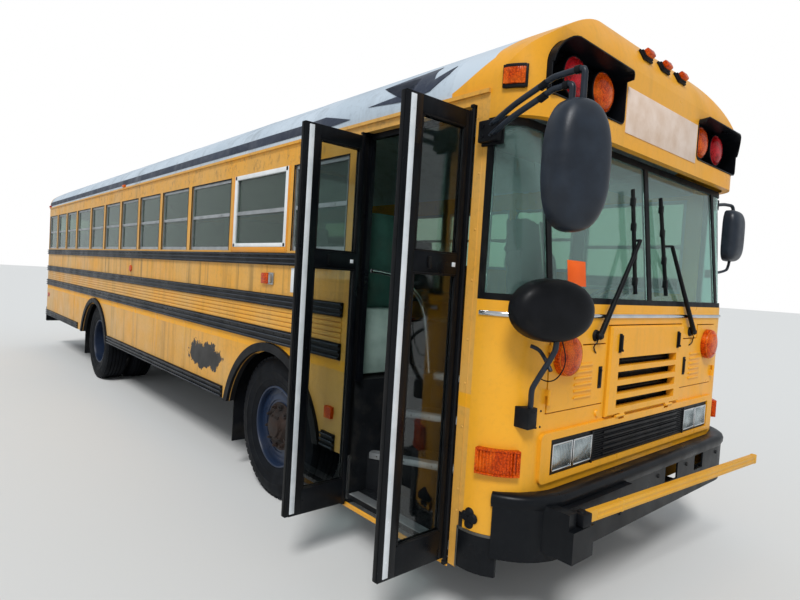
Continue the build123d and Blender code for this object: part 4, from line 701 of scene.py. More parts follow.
# %% [markdown]
# ## Flutes, seams and patches on the sides
# Between the middle and lower rub rails the steel is rolled into five shallow flutes, which stiffen it.
# Panel joints below the rails are laps one sheet thick. Each is a bevelled bar that stands a little
# proud, since a lap throws the same fine shadow.

# %% Fluted panel
shape = bmesh.new()
for count in range(5):
    low = 1.2045 + count * 0.031
    slab(shape, (SHEET_REAR, -1.245), (-HALF_WIDTH - 0.0065, -HALF_WIDTH + 0.002), (low, low + 0.0285), 0.006)
mirrored(shape)
fit(shape, "side_flutes", BODY, "side_paint")

# %% Panel laps
shape = bmesh.new()
LAP_Y = (-HALF_WIDTH - 0.0016, -HALF_WIDTH + 0.001)
for x in PILLARS:
    if not over_an_arch(x):
        slab(shape, (x - 0.068, x - 0.007), LAP_Y, (0.67, 1.098), 0.0007)
slab(shape, (SHEET_REAR, -1.26), LAP_Y, (2.432, 2.462), 0.0007)
mirrored(shape)
slab(shape, (-0.253, -0.247), LAP_Y, (0.5, 2.33), 0.0007)
fit(shape, "side_laps", BODY, "side_paint")

# %% [markdown]
# ## Tyres
# A commercial radial has a nearly flat tread with four grooves, a square shoulder and a sidewall with
# moulded rings. The whole section is one profile, spun round the axle, and the shoulder lugs are one
# block turned round sixty times.

# %% Tyres
TYRE_R = 0.5
LUGS = 60
TYRE_SIDE = ((0.2862, 0.100), (0.290, 0.112), (0.302, 0.1185), (0.320, 0.1235), (0.334, 0.1285),
             (0.337, 0.1305),
             (0.342, 0.1305), (0.345, 0.1300), (0.365, 0.1350), (0.388, 0.1385), (0.392, 0.1402),
             (0.397, 0.1402),
             (0.400, 0.1385), (0.425, 0.1375), (0.448, 0.1330), (0.466, 0.1270), (0.474, 0.1225),
             (0.482, 0.1180))
TREAD_SIDE = ((0.4955, 0.1075), (0.4985, 0.100), (0.4985, 0.068), (0.486, 0.067), (0.486, 0.058),
              (0.4993, 0.057),
              (0.4998, 0.026), (0.4870, 0.025), (0.4870, 0.017), (0.5, 0.016))
half_section = TYRE_SIDE + TREAD_SIDE
section = [(r, -w) for r, w in half_section] + [(r, w) for r, w in reversed(half_section)]


def tyre(shape, x, y):
    """One tyre: the turned section and sixty lugs on each shoulder."""
    lathe(shape, section, (x, y, TYRE_R), (0, 1, 0), 96, True)
    for side in SIDES:
        first = len(shape.verts)
        slab(shape, (x - 0.0195, x + 0.0195), (y + side * 0.098, y + side * 0.1165),
             (TYRE_R + 0.470, TYRE_R + 0.4975), 0)
        shape.verts.ensure_lookup_table()
        block = shape.verts[first:]
        faces = list({face for corner in block for face in corner.link_faces})
        edges = list({edge for corner in block for edge in corner.link_edges})
        bmesh.ops.spin(shape, geom=block + edges + faces, cent=(along(x), y, TYRE_R), axis=(0, 1, 0),
                       angle=2 * math.pi * (LUGS - 1) / LUGS, steps=LUGS - 1, use_duplicate=True)


FRONT_AXLE = -2.08
REAR_AXLE = -6.95
WHEEL_Y = 1.032
TWIN_Y = 0.702
WHEELS = (("front_right", -1, FRONT_AXLE, (WHEEL_Y,), "front_right_wheel"),
          ("front_left", 1, FRONT_AXLE, (WHEEL_Y,), "front_left_wheel"),
          ("rear_right", -1, REAR_AXLE, (WHEEL_Y, TWIN_Y), "rear_right_wheels"),
          ("rear_left", 1, REAR_AXLE, (WHEEL_Y, TWIN_Y), "rear_left_wheels"))
for name, side, axle_x, rows, body in WHEELS:
    shape = bmesh.new()
    for y in rows:
        tyre(shape, axle_x, side * y)
    piece = fit(shape, name + "_treaded_tyre", body, "tyre_rubber", sharp=28)
    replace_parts(piece, name + ("_tyre" if len(rows) == 1 else "_tyres"))
    print(name, len(piece.data.polygons), "faces")

# %% [markdown]
# ## Rims and hubs
# The rim's lip is rolled into a bead, and ten nuts on a ring hold the disc. The front hub stands out
# and has gone to brown rust, with a cap in the middle. The rear ones lie deep in the dish.


# %% Wheel nuts, beads and caps
BEAD = ((0.2719, 0.086), (0.2719, 0.108), (0.276, 0.114), (0.283, 0.115), (0.2885, 0.111), (0.289, 0.105),
        (0.284, 0.102), (0.2795, 0.104), (0.2778, 0.09))
DISH = ((0.2719, 0.05), (0.262, 0.062), (0.225, 0.0735), (0.19, 0.078), (0.19, 0.0765), (0.224, 0.0715),
        (0.26, 0.058), (0.2719, 0.044))
FRONT_HUB = ((0.0, 0.0725), (0.165, 0.0725), (0.170, 0.076), (0.170, 0.080), (0.120, 0.082), (0.108, 0.098),
             (0.098, 0.116), (0.074, 0.120), (0.070, 0.136), (0.060, 0.140), (0.0, 0.142))
NUT_CIRCLE = 0.143
FRONT_DISC, REAR_DISC = 0.072, -0.165 + 0.011
REAR_CAP_Y = 1.057
for name, side, axle_x, rows, body in WHEELS:
    front = len(rows) == 1
    y = side * WHEEL_Y
    out = Vector((0, side, 0))
    centre = (axle_x, y, TYRE_R)
    shape = bmesh.new()
    lathe(shape, BEAD, centre, out, 64, True)
    if front:
        lathe(shape, DISH, centre, out, 64, True)
    fit(shape, name + "_rim_bead", body, "wheel_paint")
    shape = bmesh.new()
    face = FRONT_DISC if front else REAR_DISC
    for dx, dz in ring_of(10, NUT_CIRCLE, 0.15):
        foot = (axle_x + dx, y + side * face, TYRE_R + dz)
        for reach, radius, tip, segments in ((0.006, 0.022, 0.020, 12), (0.028, 0.0165, 0.0150, 6),
                                             (0.044, 0.0095, 0.0085, 8)):
            peg(shape, foot, out * reach, radius, tip, segments)
    if front:
        lathe(shape, FRONT_HUB, centre, out, 48)
        for dx, dz in ring_of(6, 0.084):
            peg(shape, (axle_x + dx, y + side * 0.118, TYRE_R + dz), out * 0.010, 0.008, 0.007, 6)
    else:
        for dx, dz in ring_of(8, 0.075):
            peg(shape, (axle_x + dx, side * REAR_CAP_Y, TYRE_R + dz), out * 0.012, 0.010, 0.009, 6)
        peg(shape, (axle_x, side * REAR_CAP_Y, TYRE_R), out * 0.008, 0.055, 0.045, 24)
    fit(shape, name + "_hub_and_nuts", body, "rusted_iron" if front else "axle_iron")

# %% [markdown]
# ## The front: hood, access doors and grille
# The hood panel is held by two rubber draw latches, and its slots have a woven screen behind them. Each
# access door has six pressed louvres, a recessed latch and a round amber lamp. A louvre is a bar with a
# strong bevel, sunk until only its rounded lip stands out.

# %% Hood screen and latches
shape = bmesh.new()
for count in range(15):
    z = 0.995 + count * 0.0215
    slab(shape, (-0.040, -0.034), (-0.36, 0.36), (z, z + 0.006), 0)
for count in range(50):
    y = -0.36 + count * 0.0147
    slab(shape, (-0.036, -0.033), (y, y + 0.0025), (0.99, 1.31), 0)
slab(shape, (-0.048, -0.042), (-0.37, 0.37), (0.985, 1.315), 0.001)
fit(shape, "hood_screen", "hood", "grille_plastic")
shape = bmesh.new()
for side in SIDES:
    y = side * 0.352
    slab(shape, (0.0195, 0.026), (y - 0.013, y + 0.013), (1.292, 1.392), 0.003)
    slab(shape, (0.025, 0.036), (y - 0.008, y + 0.008), (1.300, 1.386), 0.004)
    peg(shape, (0.026, y, 1.306), (0.014, 0, 0), 0.0065)
    for z in (1.385, 1.300):
        peg(shape, (0.024, y, z), (0.006, 0, 0), 0.004, 0.003, 8)
fit(shape, "hood_latches", "hood", "trim_rubber")

# %% Access door louvres and latches
ACCESS_DOORS = (("right_access", -1), ("left_access", 1))
for name, side in ACCESS_DOORS:
    shape = bmesh.new()
    inner, outer = sorted((side * 0.586, side * 0.742))
    for count in range(6):
        z = 1.087 + count * 0.031
        slab(shape, (0.000, 0.0105), (inner, outer), (z - 0.004, z + 0.009), 0.0042)
    fit(shape, name + "_louvres", name, "yellow_paint")
    shape = bmesh.new()
    y = side * 0.507
    slab(shape, (0.0035, 0.0075), (y - 0.017, y + 0.017), (1.118, 1.228), 0.003)
    slab(shape, (0.0075, 0.013), (y - 0.008, y + 0.008), (1.130, 1.216), 0.003)
    peg(shape, (0.007, y, 1.208), (0.008, 0, 0), 0.006, 0.005)
    fit(shape, name + "_latch", name, "trim_rubber")

# %% Round signal lamps
LAMP_DOME = ((0.0935, 0.001), (0.0955, 0.003), (0.0950, 0.026), (0.0930, 0.034), (0.0870, 0.041),
             (0.0700, 0.047), (0.0550, 0.0505), (0.0350, 0.0525), (0.0, 0.0535))
SIGNAL_Y, SIGNAL_Z = 0.84, 1.30
for name, side in ACCESS_DOORS:
    shape = bmesh.new()
    lathe(shape, LAMP_DOME, (0.004, side * SIGNAL_Y, SIGNAL_Z), (1, 0, 0), 48)
    for step in range(-4, 5):
        reach = 0.066 - 0.0022 * step**2
        y = side * SIGNAL_Y + step * 0.0165
        proud = (0.045, 0.0555 - 0.0006 * step**2)
        slab(shape, proud, (y - 0.003, y + 0.003), (SIGNAL_Z - reach, SIGNAL_Z + reach), 0.002)
    fit(shape, name + "_signal_lens", name, "amber_lens")

# %% Grille fins and lamp bezels
shape = bmesh.new()
for count in range(13):
    z = 0.758 + count * 0.0118
    slab(shape, (0.004, 0.0125), (-0.54, 0.54), (z, z + 0.0045), 0.0015)
for y in (-0.545, 0.545):
    slab(shape, (0.002, 0.015), (y - 0.006, y + 0.006), (0.742, 0.905), 0.002)
fit(shape, "grille_fins", BODY, "grille_plastic")
chrome = bmesh.new()
glass = bmesh.new()
for side in SIDES:
    for inner, outer in ((0.552, 0.718), (0.730, 0.895)):
        low, high = sorted((side * inner, side * outer))
        for y in ((low - 0.002, low + 0.007), (high - 0.007, high + 0.002)):
            slab(chrome, (0.004, 0.0145), y, (0.760, 0.890), 0.002)
        for z in ((0.760, 0.769), (0.881, 0.890)):
            slab(chrome, (0.004, 0.0140), (low, high), z, 0.002)
        slab(glass, (0.006, 0.0125), (low + 0.006, high - 0.006), (0.768, 0.882), 0.0028)
        for count in range(11):
            y = low + 0.016 + count * (high - low - 0.032) / 10
            slab(glass, (0.0120, 0.0134), (y - 0.003, y + 0.003), (0.776, 0.874), 0.0006)
fit(chrome, "headlamp_bezels", BODY, "bright_chrome")
fit(glass, "headlamp_lenses", BODY, "lamp_glass")

# %% [markdown]
# ## The front: chrome strip, sign board and small fittings
# A bright half-round moulding hides the joint under the windshield and wraps both corners. It is one
# short profile, spun round each corner and extruded straight across.


# %% Chrome moulding
CORNER_R = 0.216
BUMPER_X = 0.110


def wrap_strip(shape, profile, corner_r, front_x, end_angle):
    """A profile of (reach out, height) carried round both front corners in plan."""
    for side in SIDES:
        centre = spot_at(front_x - corner_r, side * (HALF_WIDTH - corner_r), 0)
        points = [shape.verts.new((centre.x + corner_r + reach, centre.y, z)) for reach, z in profile]
        edges = [shape.edges.new(two) for two in zip(points, points[1:])]
        edges.append(shape.edges.new((points[-1], points[0])))
        straight = bmesh.ops.extrude_edge_only(shape, edges=edges)
        bmesh.ops.translate(shape, verts=made_of(bmesh.types.BMVert, straight), vec=(0, -centre.y, 0))
        spun = bmesh.ops.spin(shape, geom=points + edges, cent=centre, axis=(0, 0, side), angle=end_angle,
                              steps=16)
        last = [g for g in spun["geom_last"] if isinstance(g, bmesh.types.BMEdge)]
        bmesh.ops.edgeloop_fill(shape, edges=last)


shape = bmesh.new()
MOULDING = ((-0.002, 1.470), (0.006, 1.471), (0.010, 1.476), (0.011, 1.481), (0.010, 1.486), (0.006, 1.491),
            (-0.002, 1.492))
wrap_strip(shape, MOULDING, CORNER_R, 0.0, math.radians(86))
fit(shape, "chrome_moulding", BODY, "bright_chrome")

# %% Wiper blades
WIPER_Y, WIPER_Z = 0.570, 1.385
shape = bmesh.new()
for side, tip_y, blade_y in ((-1, -0.190, (-0.215, -0.225)), (1, 0.205, (0.160, 0.110))):
    foot, tip = Vector((0.026, side * WIPER_Y, WIPER_Z)), Vector((0.006, tip_y, 1.890))
    peg(shape, foot, tip - foot, 0.0145, 0.0105, 12)
    low, high = Vector((0.014, blade_y[0], 1.600)), Vector((-0.039, blade_y[1], 2.160))
    peg(shape, low, high - low, 0.0095, 0.0095, 12)
    peg(shape, low + Vector((-0.012, 0.010, 0)), high - low, 0.006, 0.006, 8)
    for share in (0.12, 0.36, 0.64, 0.88):
        spot = low + (high - low) * share
        spans = ((centre - before, centre + after)
                 for centre, before, after in zip(spot, (0.014, 0.013, 0.022), (0.010, 0.013, 0.022)))
        slab(shape, *spans, 0.004)
fit(shape, "wiper_arms_and_blades", BODY, "seal_rubber")

# %% Rounded bumper edge
shape = bmesh.new()
BUMPER_ROLL = ((-0.070, 0.676), (-0.070, 0.694), (-0.030, 0.700), (-0.006, 0.698), (0.007, 0.690),
               (0.0135, 0.676), (0.0125, 0.655), (0.002, 0.634), (-0.020, 0.640))
wrap_strip(shape, BUMPER_ROLL, 0.333, BUMPER_X, math.radians(66))
fit(shape, "bumper_top_roll", BODY, "black_paint")

# %% Sign board and brow lamp bases
shape = bmesh.new()
slab(shape, (-0.002, 0.004), (-0.435, 0.435), (2.412, 2.640), 0.0015)
fit(shape, "blank_sign_board", BODY, "sign_film")
base = bmesh.new()
lenses = bmesh.new()
brow_r = 0.325
turn_x, turn_z = 0.002 - brow_r, CROWN_Z + 0.002 - brow_r
lift = math.asin((CROWN_Z - 0.170 - turn_z) / brow_r)
tip = Matrix.Rotation(-lift, 4, "Y")
LAYERS = ((base, 0.006, 0.014, 0.100, 0.064), (base, 0.014, 0.016, 0.084, 0.050),
          (lenses, 0.030, 0.030, 0.072, 0.042))
for y in (-0.213, 0.0, 0.213):
    for shape, out, deep, wide, tall in LAYERS:
        x = turn_x + (brow_r + out) * math.cos(lift)
        z = turn_z + (brow_r + out) * math.sin(lift)
        slab(shape, *about((x, y, z), (deep, wide, tall)), min(deep, tall) * 0.3, tip)
fit(base, "brow_lamp_bases", BODY, "seal_rubber")
fit(lenses, "brow_lamp_lenses", BODY, "amber_lens")

# %% [markdown]
# The warning lamps sit in sunk black pans, each with a lip that grows out of its upper edge, deepest in
# the middle like an eyelid. The pan's rounded outline is drawn once, and its edge is extruded.


# %% Lamp pans and their lips
def pan_outline(low_y, high_y, low_z, high_z, small, large, side):
    """A rounded outline, as points in Y and Z, that starts on the inner side and runs over the top."""
    points = []
    rounds = ((low_y + small, low_z + small, small, 270, 180),
              (low_y + small, high_z - small, small, 180, 90),
              (high_y - large, high_z - large, large, 90, 0), (high_y - small, low_z + small, small, 0, -90))
    for y, z, radius, first, last in rounds:
        for count in range(9):
            angle = math.radians(first + (last - first) * count / 8)
            points.append((side * (y + radius * math.cos(angle)), z + radius * math.sin(angle)))
    return points


def lamp_pan(shape, side, back_x, edge_x, ahead, spans, reach):
    """A pan with a floor, a wall and a lip, whose parts each have a thickness."""
    outline = pan_outline(*spans, side)
    wall = bmesh.new()
    ring = [wall.verts.new((along(back_x), y, z)) for y, z in outline]
    floor_face = wall.faces.new(ring)
    grown = bmesh.ops.extrude_edge_only(wall, edges=floor_face.edges[:])
    bmesh.ops.translate(wall, verts=made_of(bmesh.types.BMVert, grown), vec=(edge_x - back_x, 0, 0))
    low_y, high_y, low_z, high_z = spans[:4]
    half_way = (low_z + high_z) / 2
    open_edges = [edge for edge in made_of(bmesh.types.BMEdge, grown) if len(edge.link_faces) == 1]
    rim = [edge for edge in open_edges if abs(edge.verts[0].co.x - edge.verts[1].co.x) < 1e-6]
    upper = [edge for edge in rim if min(corner.co.z for corner in edge.verts) > half_way - 0.01]
    lip = bmesh.ops.extrude_edge_only(wall, edges=upper)
    for corner in made_of(bmesh.types.BMVert, lip):
        across = (abs(corner.co.y) - low_y) / (high_y - low_y)
        up = min(1.0, max(0.0, (corner.co.z - half_way + 0.01) / (high_z - low_z) * 2))
        share = up**0.6 * math.sin(math.pi * min(1.0, 0.10 + 0.86 * across)) ** 0.5
        corner.co.x += ahead * reach * share
        corner.co.z += 0.010 * share
    thicken(wall, 0.006)
    join(shape, wall)


shape = bmesh.new()
for side in SIDES:
    lamp_pan(shape, side, -0.0965, 0.004, 1, (0.4515, 1.0985, 2.4415, 2.6885, 0.034, 0.119), 0.072)
    lamp_pan(shape, side, REAR - 0.004, REAR - 0.045, -1, (0.462, 0.973, 2.467, 2.674, 0.030, 0.080), 0.065)
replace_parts(fit(shape, "warning_lamp_pans", BODY, "black_paint"), "lamp_hoods")

# %% Warning lamp lenses
DOME = ((0.094, 0.0), (0.094, 0.012), (0.090, 0.016), (0.087, 0.014), (0.085, 0.020), (0.076, 0.028),
        (0.060, 0.034), (0.035, 0.038), (0.0, 0.040))
RING = ((0.086, -0.036), (0.101, -0.036), (0.101, 0.010), (0.098, 0.014), (0.0945, 0.014), (0.0945, 0.0))
AMBER_Y, RED_Y = 0.600, 0.850
WARNING_Z = 2.575
FRONT_LAMP_X = -0.051
for name, y, finish in (("amber_warning_lenses", AMBER_Y, "amber_lens"),
                        ("red_warning_lenses", RED_Y, "red_lens")):
    shape = bmesh.new()
    for side in SIDES:
        lathe(shape, DOME, (FRONT_LAMP_X, side * y, WARNING_Z), (1, 0, 0), 40)
        lathe(shape, DOME, (REAR - 0.043, side * y, WARNING_Z), (-1, 0, 0), 40)
    fit(shape, name, BODY, finish)
shape = bmesh.new()
for side in SIDES:
    for y in (AMBER_Y, RED_Y):
        lathe(shape, RING, (FRONT_LAMP_X, side * y, WARNING_Z), (1, 0, 0), 40, True)
        lathe(shape, RING, (REAR - 0.030, side * y, WARNING_Z), (-1, 0, 0), 40, True)
fit(shape, "warning_lamp_rims", BODY, "seal_rubber")

# %% Corner signal lenses and cap side lamps
shape = bmesh.new()
bezel = bmesh.new()


def around_corner(target, angle, lift, deep, wide, z, soft):
    """A small plate square to the front corner, at an angle round it from straight ahead."""
    for side in SIDES:
        x = -CORNER_R + (CORNER_R + lift) * math.cos(angle)
        y = side * (HALF_WIDTH - CORNER_R + (CORNER_R + lift) * math.sin(angle))
        turned = Matrix.Rotation(side * angle, 4, "Z")
        slab(target, *about((x, y), (deep, wide)), z, soft, turned)


START, SWEEP = math.radians(31), math.radians(42)
for count in range(13):
    around_corner(shape, START + SWEEP * count / 12, 0.026, 0.010, 0.0085, (0.784, 0.879), 0.003)
for count in range(13):
    for z in ((0.7735, 0.7825), (0.8805, 0.8895)):
        around_corner(bezel, START + SWEEP * count / 12, 0.019, 0.030, 0.0155, z, 0.002)
for end in (-0.04, 1.04):
    around_corner(bezel, START + SWEEP * end, 0.019, 0.030, 0.008, (0.7735, 0.8895), 0.002)
fit(shape, "corner_signal_ribs", BODY, "amber_lens")
fit(bezel, "corner_signal_bezels", BODY, "amber_lens")
shape = bmesh.new()
START, SWEEP = math.radians(51.5), math.radians(19)
for count in range(9):
    for z in ((2.454, 2.471), (2.539, 2.556)):
        around_corner(shape, START + SWEEP * count / 8, 0.009, 0.018, 0.014, z, 0.003)
for end in (-0.12, 1.12):
    around_corner(shape, START + SWEEP * end, 0.009, 0.018, 0.016, (2.456, 2.554), 0.004)
fit(shape, "cap_lamp_bezels", BODY, "seal_rubber")
shape = bmesh.new()
for count in range(9):
    around_corner(shape, START + SWEEP * (0.02 + 0.96 * count / 8), 0.015, 0.018, 0.0135, (2.4695, 2.5405),
                  0.004)
fit(shape, "cap_side_lenses", BODY, "amber_lens")

# %% Plugs, caps, wires and brackets
shape = bmesh.new()
for dx, dz in ((0, 0.024), (0.028, 0.004), (-0.028, 0.004), (0, -0.026), (0, 0)):
    peg(shape, (-0.186 + dx * 0.8, -1.217, 0.552 + dz), (0.002, -0.012, 0), 0.024, 0.016, 20)
for y, z in ((-1.085, 1.0), (-1.10, 1.07), (-1.055, 1.0), (-1.055, 1.07)):
    peg(shape, (0.0405, y, z), (0.004, 0, 0), 0.006, 0.004, 6)
plug = bmesh.new()
peg(plug, (0.0, -0.509, 0.99), (0.009, 0, 0), 0.019, 0.015, 24)
fit(plug, "front_yellow_plug", BODY, "yellow_paint")
for side in SIDES:
    peg(shape, (0.0, side * WIPER_Y, WIPER_Z), (0.012, 0, 0), 0.030, 0.026, 24)
    peg(shape, (0.028, side * WIPER_Y, WIPER_Z), (0.012, 0, 0), 0.020, 0.012, 16)
fit(shape, "front_plugs_and_caps", BODY, "trim_rubber")


def wire(name, points, radius, body, finish, free=False):
    """A thin tube along a smooth line near a few points. For a free one the points along the line are worked
    out, and nothing uses them.
    """
    curve = bpy.data.curves.new(name, "CURVE")
    curve.dimensions = "3D"
    curve.bevel_depth = radius
    curve.bevel_resolution = 2
    curve.use_fill_caps = True
    line = curve.splines.new("NURBS")
    line.points.add(len(points) - 1)
    for target, point in zip(line.points, points):
        target.co = (*spot_at(*point), 1)
    line.use_endpoint_u = True
    line.order_u = 3
    line.resolution_u = 8
    holder = bpy.data.objects.new(name + "_line", curve)
    mesh = bpy.data.meshes.new_from_object(holder)
    shape = bmesh.new()
    shape.from_mesh(mesh)
    piece = fit(shape, name, body, finish, 60)
    if free:
        curve.bevel_depth = 0
        path = [tuple(spot.co) for spot in bpy.data.meshes.new_from_object(holder).vertices]
    bpy.data.objects.remove(holder)
    return piece


for name, side in (("right_washer_pipe", -1), ("left_washer_pipe", 1)):
    wire(name, ((0.014, side * 0.572, 1.372), (0.024, side * 0.585, 1.352), (0.010, side * 0.600, 1.335),
                (0.012, side * 0.588, 1.310), (0.004, side * 0.560, 1.298)),
         0.0032, BODY, "seal_rubber", free=True)
wire("mirror_stay", ((0.004, -1.110, 1.352), (0.035, -1.098, 1.345), (0.075, -1.108, 1.315),
                     (0.118, -1.118, 1.262)), 0.009, BODY, "mirror_plastic")
wire("mirror_heater_lead", ((0.125, -1.085, 1.42), (0.155, -1.050, 1.32), (0.110, -1.045, 1.22),
                            (0.060, -1.070, 1.20), (0.012, -1.050, 1.215)),
     0.0028, BODY, "seal_rubber", free=True)

# %% [markdown]
# ## Mirrors
# A driving mirror is a moulded shell round a silvered glass that faces the driver. The glass is a flat
# rounded plate set in the open side of the shell, with a raised lip of the same plastic round it.

# %% Mirror shells, lips and glasses
MIRRORS = (("right_mirror", (0.270, -1.309, 2.060), 0.129, 0.242, 0.100, -20, 2.5, "mirror_plastic"),
           ("left_mirror", (-0.120, 1.458, 2.070), 0.118, 0.188, 0.085, 0, 4.0, "mirror_plastic"),
           ("cross_view_mirror", (0.090, -1.111, 1.514), 0.199, 0.133, 0.085, -20, 2.1, "grille_plastic"))


def rounded(x, y, square):
    """A point of the unit circle moved out towards a square's corner."""
    grow = 1 / max(1e-9, (abs(x) ** square + abs(y) ** square)) ** (1 / square)
    return x * grow, y * grow


for name, centre, half_wide, half_tall, deep, turn, square, finish in MIRRORS:
    place = Matrix.Translation(spot_at(*centre)) @ Matrix.Rotation(math.radians(turn), 4, "Z")
    shell = bmesh.new()
    bmesh.ops.create_uvsphere(shell, u_segments=64, v_segments=41, radius=1.0)
    for corner in shell.verts:
        out = math.hypot(corner.co.x, corner.co.y)
        x, y = rounded(corner.co.x / out, corner.co.y / out, square) if out > 1e-6 else (0, 0)
        domed = corner.co.z > 0
        level, reach = rounded(corner.co.z, out, 3.4 if domed else 8)
        corner.co = Vector((level * (deep if domed else 0.006), x * reach * half_wide, y * reach * half_tall))
    lip, glass = bmesh.new(), bmesh.new()
    bmesh.ops.create_circle(lip, segments=64, radius=1.0, cap_ends=True)
    bmesh.ops.inset_region(lip, faces=lip.faces[:], thickness=0.09, use_boundary=True, use_even_offset=True)
    bmesh.ops.delete(lip, geom=[f for f in lip.faces if len(f.verts) > 4], context="FACES_ONLY")
    grown = bmesh.ops.extrude_face_region(lip, geom=lip.faces[:])
    bmesh.ops.translate(lip, verts=made_of(bmesh.types.BMVert, grown), vec=(0, 0, 0.012))
    bmesh.ops.create_cone(glass, cap_ends=True, segments=64, radius1=0.935, radius2=0.90, depth=0.004)
    for shape, back in ((lip, -0.012), (glass, -0.0095)):
        for corner in shape.verts:
            out = math.hypot(corner.co.x, corner.co.y)
            x, y = rounded(corner.co.x / out, corner.co.y / out, square)
            corner.co = Vector((back + corner.co.z, x * out * half_wide, y * out * half_tall))
    for shape, part, look in ((shell, "shell", finish), (lip, "lip", finish),
                              (glass, "glass", "mirror_glass")):
        bmesh.ops.transform(shape, matrix=place, verts=shape.verts)
        bmesh.ops.recalc_face_normals(shape, faces=shape.faces[:])
        piece = fit(shape, name + "_" + part, BODY, look, 50)
        if name == "right_mirror" and part == "shell":
            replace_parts(piece, "mirrors")

# %% Mirror brackets and arms
shape = bmesh.new()
slab(shape, (-0.245, -0.135), (-1.262, -1.217), (2.225, 2.320), 0.006)
slab(shape, (-0.250, -0.130), (-1.230, -1.216), (2.215, 2.330), 0.004)
slab(shape, (-0.245, -0.135), (1.217, 1.262), (2.235, 2.310), 0.006)
slab(shape, (-0.185, -0.115), (1.217, 1.236), (1.745, 1.805), 0.004)
slab(shape, (-0.060, 0.034), (-1.130, -1.068), (0.992, 1.084), 0.004)
for drop in (0, 0.046):
    for count in range(2):
        peg(shape, (-0.215 + count * 0.05, -1.262, 2.295 - drop), (0, -0.006, 0), 0.008, 0.006, 6)
    peg(shape, (0.262 - drop, -1.3175, 2.408 - drop), (0.020, 0, 0), 0.0155)
    peg(shape, (0.10, -1.302, 2.383 - drop), (0.03, -0.003, 0.012), 0.0155)
fit(shape, "mirror_brackets", BODY, "trim_rubber")
for drop in (0, 0.046):
    route = ((-0.20, -1.245, 2.290), (-0.10, -1.275, 2.322), (-0.03, -1.285, 2.350), (0.12, -1.302, 2.395),
             (0.16, -1.308, 2.408), (0.20, -1.312, 2.408),
             (0.262, -1.317, 2.408), (0.30, -1.318, 2.408), (0.30, -1.318, 2.370), (0.30, -1.318, 2.20))
    route = tuple((x - (drop if x > 0.25 else 0), y, z - drop) for x, y, z in route)
    wire("right_mirror_arm_" + ("low" if drop else "high"), route, 0.0125, BODY, "mirror_plastic")
wire("left_mirror_arm_high", ((-0.15, 1.240, 2.272), (-0.14, 1.34, 2.292), (-0.13, 1.43, 2.296),
                              (-0.12, 1.468, 2.296), (-0.11, 1.472, 2.265), (-0.10, 1.472, 2.18)),
     0.012, BODY, "mirror_plastic")
wire("left_mirror_arm_low", ((-0.15, 1.225, 1.775), (-0.14, 1.33, 1.788), (-0.12, 1.43, 1.808),
                             (-0.11, 1.465, 1.83), (-0.10, 1.468, 1.96)), 0.010, BODY, "mirror_plastic")
wire("cross_view_arm", ((0.005, -1.100, 1.040), (0.020, -1.100, 1.085), (0.045, -1.142, 1.165),
                        (0.055, -1.140, 1.195), (0.120, -1.112, 1.330), (0.132, -1.108, 1.370),
                        (0.125, -1.108, 1.500)),
     0.0125, BODY, "mirror_plastic")

# %% [markdown]
# ## Entrance leaves
# Each leaf is a black frame of bars with a high middle rail, a bright strip near its free edge, a soft
# rubber nose that seals against its neighbour, and a rubber bead round each pane. The frame has its
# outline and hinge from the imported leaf, which it stands for, and it swings with the same body.

